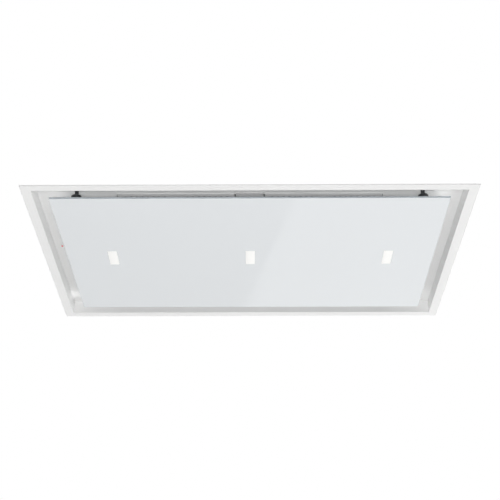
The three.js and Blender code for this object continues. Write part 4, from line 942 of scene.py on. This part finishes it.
hanger_sheet = 0.002
hanger_bolt = (0.0046, 0.0042)
slots_below_top = 0.0516
for end in ("left", "right"):
    for side, sense in (("front", -1), ("back", 1)):
        node = f"hanger_{side}_{end}"
        softened(node, galvanised, 0.0004)
        low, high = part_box(node)
        leg_face = (low.y if sense > 0 else high.y) + sense * hanger_sheet
        quarter = (high.x - low.x) / 4
        places = [(x, leg_face, high.z - slots_below_top) for x in (low.x + quarter, high.x - quarter)]
        fasteners(f"{node}_bolts", [
            facing(surface, place, 1, sense) for place in places for surface in flanged_bolt(*hanger_bolt)])

# ---------------------------------------------------------------- blower housing
# A moulded scroll with a sheet lid, a turned inlet ring screwed to its floor, and a foam frame that seals
# its mouth against the casing's wall.

foam = Finish("sealing_foam", (0.05, 0.05, 0.052), 0.95).grained(
    1400.0, 3.0, colours=((0.02, 0.02, 0.021), (0.085, 0.085, 0.088)), depth=0.0002)

softened("scroll_housing", grey_plastic, 0.0005)
softened("scroll_cover", galvanised, 0.0003)
softened("outlet_gasket", foam, 0.0006)

ring_screw_count = 6
blower_axis = middle_of("motor_shaft")[:2]
ring_low, ring_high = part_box("inlet_bellmouth")
ring_radius = (ring_high.x - ring_low.x) / 2
ring_flange = 0.012
ring_lip = 0.012
lip_middle = (ring_radius - ring_flange, ring_low.z + ring_lip)
throat = lip_middle[0] - ring_lip
ring_profile = [
    *arc(lip_middle, ring_lip, 180, 270, 12),
    (ring_radius, ring_low.z), (ring_radius, ring_low.z + casing_sheet),
    *arc(lip_middle, ring_lip - casing_sheet, 270, 180, 12),
    (throat + casing_sheet, ring_high.z), (throat, ring_high.z)]
dress("inlet_bellmouth", [turned(ring_profile, blower_axis, 96)], galvanised, "dressed_inlet_ring")


def round_the_axis(radius, level, count, first=0.0):
    """Places at even angles round the blower's axis."""
    angle = np.arange(count) * 2 * math.pi / count + first
    return [(blower_axis[0] + radius * math.cos(a), blower_axis[1] + radius * math.sin(a), level)
            for a in angle]


small_screw = 0.003
ring_screw_inset = 0.005
ring_first_screw = 0.3
screws("inlet_ring_screws", round_the_axis(
    ring_radius - ring_screw_inset, ring_low.z + casing_sheet, ring_screw_count, ring_first_screw),
    small_screw)

scroll_start = 0.110
scroll_growth = 0.062
tongue_angle = 0.18
cover_screw = 0.0022
cover_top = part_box("scroll_cover")[1].z
cover_screw_span = (0.08, 0.98)
cover_screw_count = 10
scroll_share = np.linspace(*cover_screw_span, cover_screw_count)
scroll_angle = tongue_angle + (1.5 * math.pi - tongue_angle) * scroll_share
scroll_reach = scroll_start + scroll_growth * scroll_share
screws("scroll_cover_screws", [
    (blower_axis[0] + r * math.cos(a), blower_axis[1] + r * math.sin(a), cover_top)
    for r, a in zip(scroll_reach, scroll_angle)], cover_screw)

# ---------------------------------------------------------------- impeller
# One moulding: forward-curved blades between a rim ring at the eye and a top plate, which dips into a deep
# cup round the motor. Its boss is pressed on the shaft.

blade_count = 36
blade_sweep = math.radians(11)
blade_root = 0.084
blade_tip = 0.100
blade_thickness = 0.0012
wheel_plate = 0.003
wheel_rim = blade_tip + 0.0015
tie_ring_inner = blade_tip - 0.010
cup_inner = 0.056
cup_outer = cup_inner + 0.0025
cup_round = 0.004
boss_radius = 0.009
boss_bore = 0.0033
boss_drop = 0.010
hub_clearance = 0.008
edge_round = 0.001
wheel_low, wheel_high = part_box("impeller")
motor_low, motor_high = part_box("motor_body")
cup_floor = motor_low.z - hub_clearance
plate_bottom = wheel_high.z - wheel_plate


def blade(turn, steps=8):
    """A blade: in plan, a line whose angle grows as the power 1.8 of the way from root to tip. It gets its
    thickness square to that line on both sides, thinned to a rounded nose and tail, and is carried up."""
    share = np.linspace(0.0, 1.0, steps + 1)
    radius = blade_root + (blade_tip - blade_root) * share
    angle = blade_sweep * share ** 1.8 + turn
    line = np.stack([radius * np.cos(angle), radius * np.sin(angle)], -1)
    along = np.gradient(line, axis=0)
    along /= np.linalg.norm(along, axis=1)[:, None]
    half = blade_thickness / 2 * np.minimum(1.0, 0.45 + 2.2 * np.sqrt(share * (1 - share)))
    aside = np.stack([-along[:, 1], along[:, 0]], -1) * half[:, None]
    outline = np.concatenate([line - aside, (line + aside)[::-1]]) + blower_axis
    return prism(outline, wheel_low.z + wheel_plate / 2, wheel_high.z - wheel_plate / 2)


wheel_profile = [
    (boss_bore, cup_floor - boss_drop), (boss_radius, cup_floor - boss_drop),
    (boss_radius, cup_floor - wheel_plate),
    *arc((cup_outer - cup_round, cup_floor - wheel_plate + cup_round), cup_round, -90, 0, 5),
    (cup_outer, plate_bottom), (wheel_rim, plate_bottom), (wheel_rim, wheel_high.z - edge_round),
    (wheel_rim - edge_round, wheel_high.z), (cup_inner + edge_round, wheel_high.z),
    (cup_inner, wheel_high.z - edge_round),
    *arc((cup_inner - cup_round, cup_floor + cup_round), cup_round, 0, -90, 5),
    (boss_radius, cup_floor), (boss_radius, cup_floor + hub_clearance / 2),
    (boss_bore, cup_floor + hub_clearance / 2)]
tie_ring_profile = [
    (tie_ring_inner, wheel_low.z), (wheel_rim, wheel_low.z), (wheel_rim, wheel_low.z + wheel_plate),
    (tie_ring_inner, wheel_low.z + wheel_plate)]
dress("impeller", [
    turned(wheel_profile, blower_axis, 96), turned(tie_ring_profile, blower_axis, 96),
    *(blade(i * 2 * math.pi / blade_count) for i in range(blade_count))], grey_plastic)

# ---------------------------------------------------------------- motor
# A die-cast can with pressed beads, hung by a three-armed steel bracket on rubber bushes on the scroll's
# lid. Its shaft carries the impeller.

rubber = Finish("black_rubber", (0.025, 0.025, 0.026), 0.75).grained(
    1200.0, 2.0, roughness=(0.66, 0.2), depth=0.00003)

motor_radius = (motor_high.x - motor_low.x) / 2
motor_neck = 0.0192
motor_step = 0.004
motor_round = 0.005
motor_collar = 0.002
bead_depth = 0.0008
bead_flat = 0.003
lowest_bead = motor_low.z + 0.016
highest_bead = motor_high.z - 0.022
collar_low = motor_high.z - 0.012
collar_high = motor_high.z - 0.010
beads = [point for level in np.linspace(lowest_bead, highest_bead, 5) for point in (
    (motor_radius, level), (motor_radius - bead_depth, level + bead_depth),
    (motor_radius - bead_depth, level + bead_flat), (motor_radius, level + bead_flat + bead_depth))]
motor_profile = [
    (boss_bore, motor_low.z), (motor_neck, motor_low.z), (motor_neck, motor_low.z + motor_step),
    *arc((motor_radius - motor_round, motor_low.z + motor_step + motor_round), motor_round, -90, 0, 6),
    *beads, (motor_radius, collar_low), (motor_radius - motor_collar, collar_high),
    (motor_radius - motor_collar, motor_high.z), (boss_bore, motor_high.z)]
dress("motor_body", [turned(motor_profile, blower_axis, 72)], cast_aluminium, "dressed_motor")


def bar_profile(radius, low, high, ease=0.0005):
    """A round bar's profile with eased ends."""
    return [(0.0, low), (radius - ease, low), (radius, low + ease), (radius, high - ease),
            (radius - ease, high), (0.0, high)]


shaft_low, shaft_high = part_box("motor_shaft")
shaft_profile = bar_profile((shaft_high.x - shaft_low.x) / 2, shaft_low.z, shaft_high.z)
dress("motor_shaft", [turned(shaft_profile, blower_axis, 32)], bright_steel)

softened("motor_bracket", galvanised, 0.0004)
bush_hole = 0.002
bush_waist = 0.0015
waist_radius = 0.002
bracket_bolt = (0.004, 0.0032)
bracket_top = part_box("motor_bracket")[1].z
bracket_bolts = []
for number in (1, 2, 3):
    low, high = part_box(f"motor_bush_{number}")
    bush_axis = ((low.x + high.x) / 2, (low.y + high.y) / 2)
    radius = (high.x - low.x) / 2
    waist_middle = (radius - bush_waist + waist_radius, (low.z + high.z) / 2)
    bush_profile = [(bush_hole, low.z), (radius, low.z), *arc(waist_middle, waist_radius, 245, 115, 8),
                    (radius, high.z), (bush_hole, high.z)]
    dress(f"motor_bush_{number}", [turned(bush_profile, bush_axis, 36)], rubber)
    bracket_bolts += [
        facing(surface, (*bush_axis, bracket_top), 2) for surface in flanged_bolt(*bracket_bolt)]
fasteners("motor_bracket_bolts", bracket_bolts)

# ---------------------------------------------------------------- duct spigot
# A moulded tube on a square flange, screwed to the casing's end, with a snap bead for the duct and a stop
# ring inside for the damper.

spigot_low, spigot_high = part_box("outlet_spigot")
spigot_half = (spigot_high.y - spigot_low.y) / 2
duct_axis = ((spigot_low.y + spigot_high.y) / 2, (spigot_low.z + spigot_high.z) / 2)
spigot_outer = 0.075
spigot_bore = 0.073
spigot_fillet = 0.002
spigot_edge = 0.0006
flange_end = spigot_low.x + 0.0025
bead_rise = 0.0015
bead_middle = spigot_high.x - 0.010
stop_width = 0.003
stop_chamfer = 0.0012
stop_inset = 0.0005
stop_lap = 0.001
flange_corner = 0.005
flange_edge = 0.0005
spigot_screw_inset = 0.006
pin_low, pin_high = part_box("damper_pin")
pin_middle = (pin_low + pin_high) / 2
knuckle_radius = 0.0038
running_gap = 0.0003
stop_end = pin_middle.x - knuckle_radius - running_gap

snap_bead = [(spigot_outer + bead_rise * math.sin(a), bead_middle - 2 * bead_rise * math.cos(a))
             for a in np.linspace(0.0, math.pi, 11)]
tube_start = flange_end - spigot_fillet / 2
tube_profile = [
    (spigot_bore, tube_start), (spigot_outer + spigot_fillet, tube_start),
    *arc((spigot_outer + spigot_fillet, flange_end + spigot_fillet), spigot_fillet, 270, 180, 4),
    *snap_bead, (spigot_outer, spigot_high.x - spigot_edge), (spigot_outer - spigot_edge, spigot_high.x),
    (spigot_bore, spigot_high.x)]
stop_start = spigot_low.x + stop_inset
stop_profile = [
    (spigot_bore - stop_width, stop_start), (spigot_bore + stop_lap, stop_start),
    (spigot_bore + stop_lap, stop_end - stop_chamfer), (spigot_bore, stop_end - stop_chamfer),
    (spigot_bore - stop_width, stop_end)]
spigot_flange = plate([rectangle(spigot_half, spigot_half, flange_corner, 6, duct_axis),
                       hole(*circle(spigot_bore, duct_axis, 96))], spigot_low.x, flange_end, flange_edge)
spigot_rings = [turned(profile, duct_axis, 96) for profile in (tube_profile, stop_profile)]
dress("outlet_spigot", [facing(surface, in_place, 0) for surface in (spigot_flange, *spigot_rings)],
      black_plastic, "dressed_spigot")
screw_reach = spigot_half - spigot_screw_inset
screws("spigot_screws", [
    (flange_end, duct_axis[0] + side_y * screw_reach, duct_axis[1] + side_z * screw_reach)
    for side_y in (-1, 1) for side_z in (-1, 1)], casing_screw, 0)

# ---------------------------------------------------------------- damper
# Two half-round moulded flaps on one upright steel pin. Each has knuckles on every second stretch of it,
# and a light spring shuts them against the stop ring when the blower is off.

pin_radius = (pin_high.x - pin_low.x) / 2
damper_pin_profile = bar_profile(pin_radius, pin_low.z, pin_high.z)
dress("damper_pin", [turned(damper_pin_profile, pin_middle[:2], 28)], bright_steel)

flap_clearance = 0.0015
flap_radius = spigot_bore - flap_clearance
flap_sheet = 0.0015
flap_edge = 0.0005
flap_face = -knuckle_radius
from_pin = knuckle_radius + running_gap
knuckle_inset = 0.006
knuckle_ease = 0.0003
strap_lap = 0.002
stretch_length = (flap_radius - knuckle_inset) / 2

corner_angle = math.pi / 2 - math.asin(from_pin / flap_radius)
angle = np.linspace(-corner_angle, corner_angle, 49)
outward = np.stack([np.cos(angle), np.sin(angle)], -1)
half_disc = flap_radius * outward
outward[[0, -1]] += (-1.0, 0.0)
flap_surfaces = [
    facing(plate([(half_disc, outward)], flap_face, flap_face + flap_sheet, flap_edge), in_place, 0)]
for stretch in (0, 2):
    low_end = knuckle_inset - flap_radius + stretch * stretch_length + running_gap
    high_end = low_end + stretch_length - 2 * running_gap
    barrel = [(pin_radius + running_gap, low_end), (knuckle_radius - knuckle_ease, low_end),
              (knuckle_radius, low_end + knuckle_ease), (knuckle_radius, high_end - knuckle_ease),
              (knuckle_radius - knuckle_ease, high_end), (pin_radius + running_gap, high_end)]
    strap = [(flap_face, 0.0), (flap_face + flap_sheet, 0.0),
             (flap_face + flap_sheet, from_pin + strap_lap), (flap_face, from_pin + strap_lap)]
    flap_surfaces += [turned(barrel, segments=32), prism(strap, low_end, high_end)]
for side, sense in (("back", 1), ("front", -1)):
    placed = [(vertices * (1, sense, sense) + np.array(pin_middle), blocks)
              for vertices, blocks in flap_surfaces]
    dress(f"damper_flap_{side}", placed, black_plastic)

# ---------------------------------------------------------------- control box
# A moulded box on the casing's end with a screwed cover. It holds the circuit board, the motor's run
# capacitor and a terminal block, and the supply cable comes in through a gland.

white_plastic = Finish("white_moulding", (0.72, 0.72, 0.71), 0.45).grained(
    1500.0, 2.0, roughness=(0.36, 0.16), depth=0.00002)

circuit = Finish("circuit_board", (0.015, 0.09, 0.045), 0.35)
tracks = circuit.node("ShaderNodeTexBrick", {}, {"Vector": circuit.place(), "Scale": 160.0})["Fac"]
circuit.paint("Base Color", circuit.blend(tracks, (0.012, 0.075, 0.038), (0.022, 0.13, 0.065)))
circuit.grained(600.0, 2.0, roughness=(0.3, 0.15))

softened("control_box", white_plastic, 0.0006)
softened("control_box_cover", white_plastic, 0.0008)
softened("control_board", circuit, 0.0002)
softened("terminal_block", white_plastic, 0.0004)

cover_low, cover_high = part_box("control_box_cover")
cover_inset = 0.008
screws("control_box_screws", [
    (cover_low.x, y, z) for y in (cover_low.y + cover_inset, cover_high.y - cover_inset)
    for z in (cover_low.z + cover_inset, cover_high.z - cover_inset)], small_screw, 0, -1)

can_low, can_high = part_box("run_capacitor")
can_radius = (can_high.x - can_low.x) / 2
can_half = (can_high.y - can_low.y) / 2
can_rim = 0.001
can_profile = [
    (0.0, can_rim - can_half), (can_radius - 3 * can_rim, can_rim - can_half),
    (can_radius - 2 * can_rim, -can_half),
    *arc((can_radius - can_rim, can_rim - can_half), can_rim, -90, 0, 3),
    *arc((can_radius - 2 * can_rim, can_half - 2 * can_rim), 2 * can_rim, 0, 90, 4), (0.0, can_half)]
dress("run_capacitor", [facing(turned(can_profile, segments=48), (can_low + can_high) / 2, 1)], white_plastic)

gland_low, gland_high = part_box("cable_gland")
gland_axis = ((gland_low.x + gland_high.x) / 2, 0.0, (gland_low.z + gland_high.z) / 2)
gland_bore = 0.005
thread_radius = 0.010
thread_depth = 0.0005
thread_pitch = 0.0015
nut_radius = 0.0125
nose_fall = 0.0045
across_corners = 0.014
gland_ease = 0.0006
thread_lap = 0.001
collar_length = 0.006
nut_length = 0.008
locknut_length = 0.005
box_wall = 0.002
box_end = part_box("control_box")[1].y
body_end = box_end + running_gap + collar_length
nut_end = body_end + nut_length
thread_height = np.arange(gland_low.y + thread_pitch / 2, box_end - box_wall, thread_pitch / 2)
thread = [(thread_radius - thread_depth * (i % 2), y) for i, y in enumerate(thread_height)]
stem_profile = [(gland_bore, gland_low.y), (thread_radius - thread_depth, gland_low.y), *thread,
                (thread_radius, body_end), (gland_bore, body_end)]
nose = [(nut_radius - nose_fall * s ** 2, nut_end + (gland_high.y - nut_end) * s)
        for s in np.linspace(0.2, 1.0, 6)]
nut_profile = [(gland_bore, body_end - gland_ease), (nut_radius - gland_ease, body_end - gland_ease),
               (nut_radius, body_end + gland_ease), (nut_radius, nut_end), *nose, (gland_bore, gland_high.y)]

grips = 24
grip_depth_share = 0.04
nut_points, nut_faces = turned(nut_profile, segments=6 * grips)
nut_angle = np.arctan2(nut_points[:, 1], nut_points[:, 0])
on_side = np.hypot(nut_points[:, 0], nut_points[:, 1]) > nut_radius - gland_ease / 2
nut_points[:, :2] *= 1 - (on_side * grip_depth_share * (1 + np.cos(grips * nut_angle)) / 2)[:, None]


def hexagon_nut(low, high):
    """A six-sided ring round the gland's thread, eased at both faces."""
    return turned([(thread_radius - thread_lap, low), (across_corners - gland_ease, low),
                   (across_corners, low + gland_ease), (across_corners, high - gland_ease),
                   (across_corners - gland_ease, high), (thread_radius - thread_lap, high)], segments=6)


locknut_end = box_end - box_wall - running_gap
gland_surfaces = [
    turned(stem_profile, segments=40), (nut_points, nut_faces),
    hexagon_nut(box_end + running_gap, body_end), hexagon_nut(locknut_end - locknut_length, locknut_end)]
dress("cable_gland", [facing(surface, gland_axis, 1) for surface in gland_surfaces], black_plastic)

# ---------------------------------------------------------------- lamp driver and receiver
# A sealed driver for the lamps is screwed to the tray. So is the remote control's receiver, over the left
# air gap, and its red indicator just shows below the tray.

softened("led_driver", white_plastic, 0.0010)
softened("receiver_housing", black_plastic, 0.0008)

driver_low, driver_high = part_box("led_driver")
ear_height = 0.002
ear_middle = 0.0055
ear_top = driver_low.z + ear_height
screws("led_driver_screws", [((driver_low.x + driver_high.x) / 2, y, ear_top)
                             for y in (driver_low.y + ear_middle, driver_high.y - ear_middle)], small_screw)

indicator_glow = 0.3
red_lens = Finish("red_lens", (0.45, 0.015, 0.02), 0.2).grained(900.0, 2.0, roughness=(0.16, 0.1))
red_lens.glow((0.9, 0.05, 0.05), indicator_glow)
lens_low, lens_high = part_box("indicator_lens")
lens_radius = (lens_high.x - lens_low.x) / 2
lens_dome = tray_low.z - lens_low.z
lens_profile = [*((lens_radius * math.sin(a), tray_low.z - lens_dome * math.cos(a))
                  for a in np.linspace(0.0, math.pi / 2, 8)), (lens_radius, lens_high.z), (0.0, lens_high.z)]
dress("indicator_lens", [turned(lens_profile, middle_of("indicator_lens")[:2], 32)], red_lens)
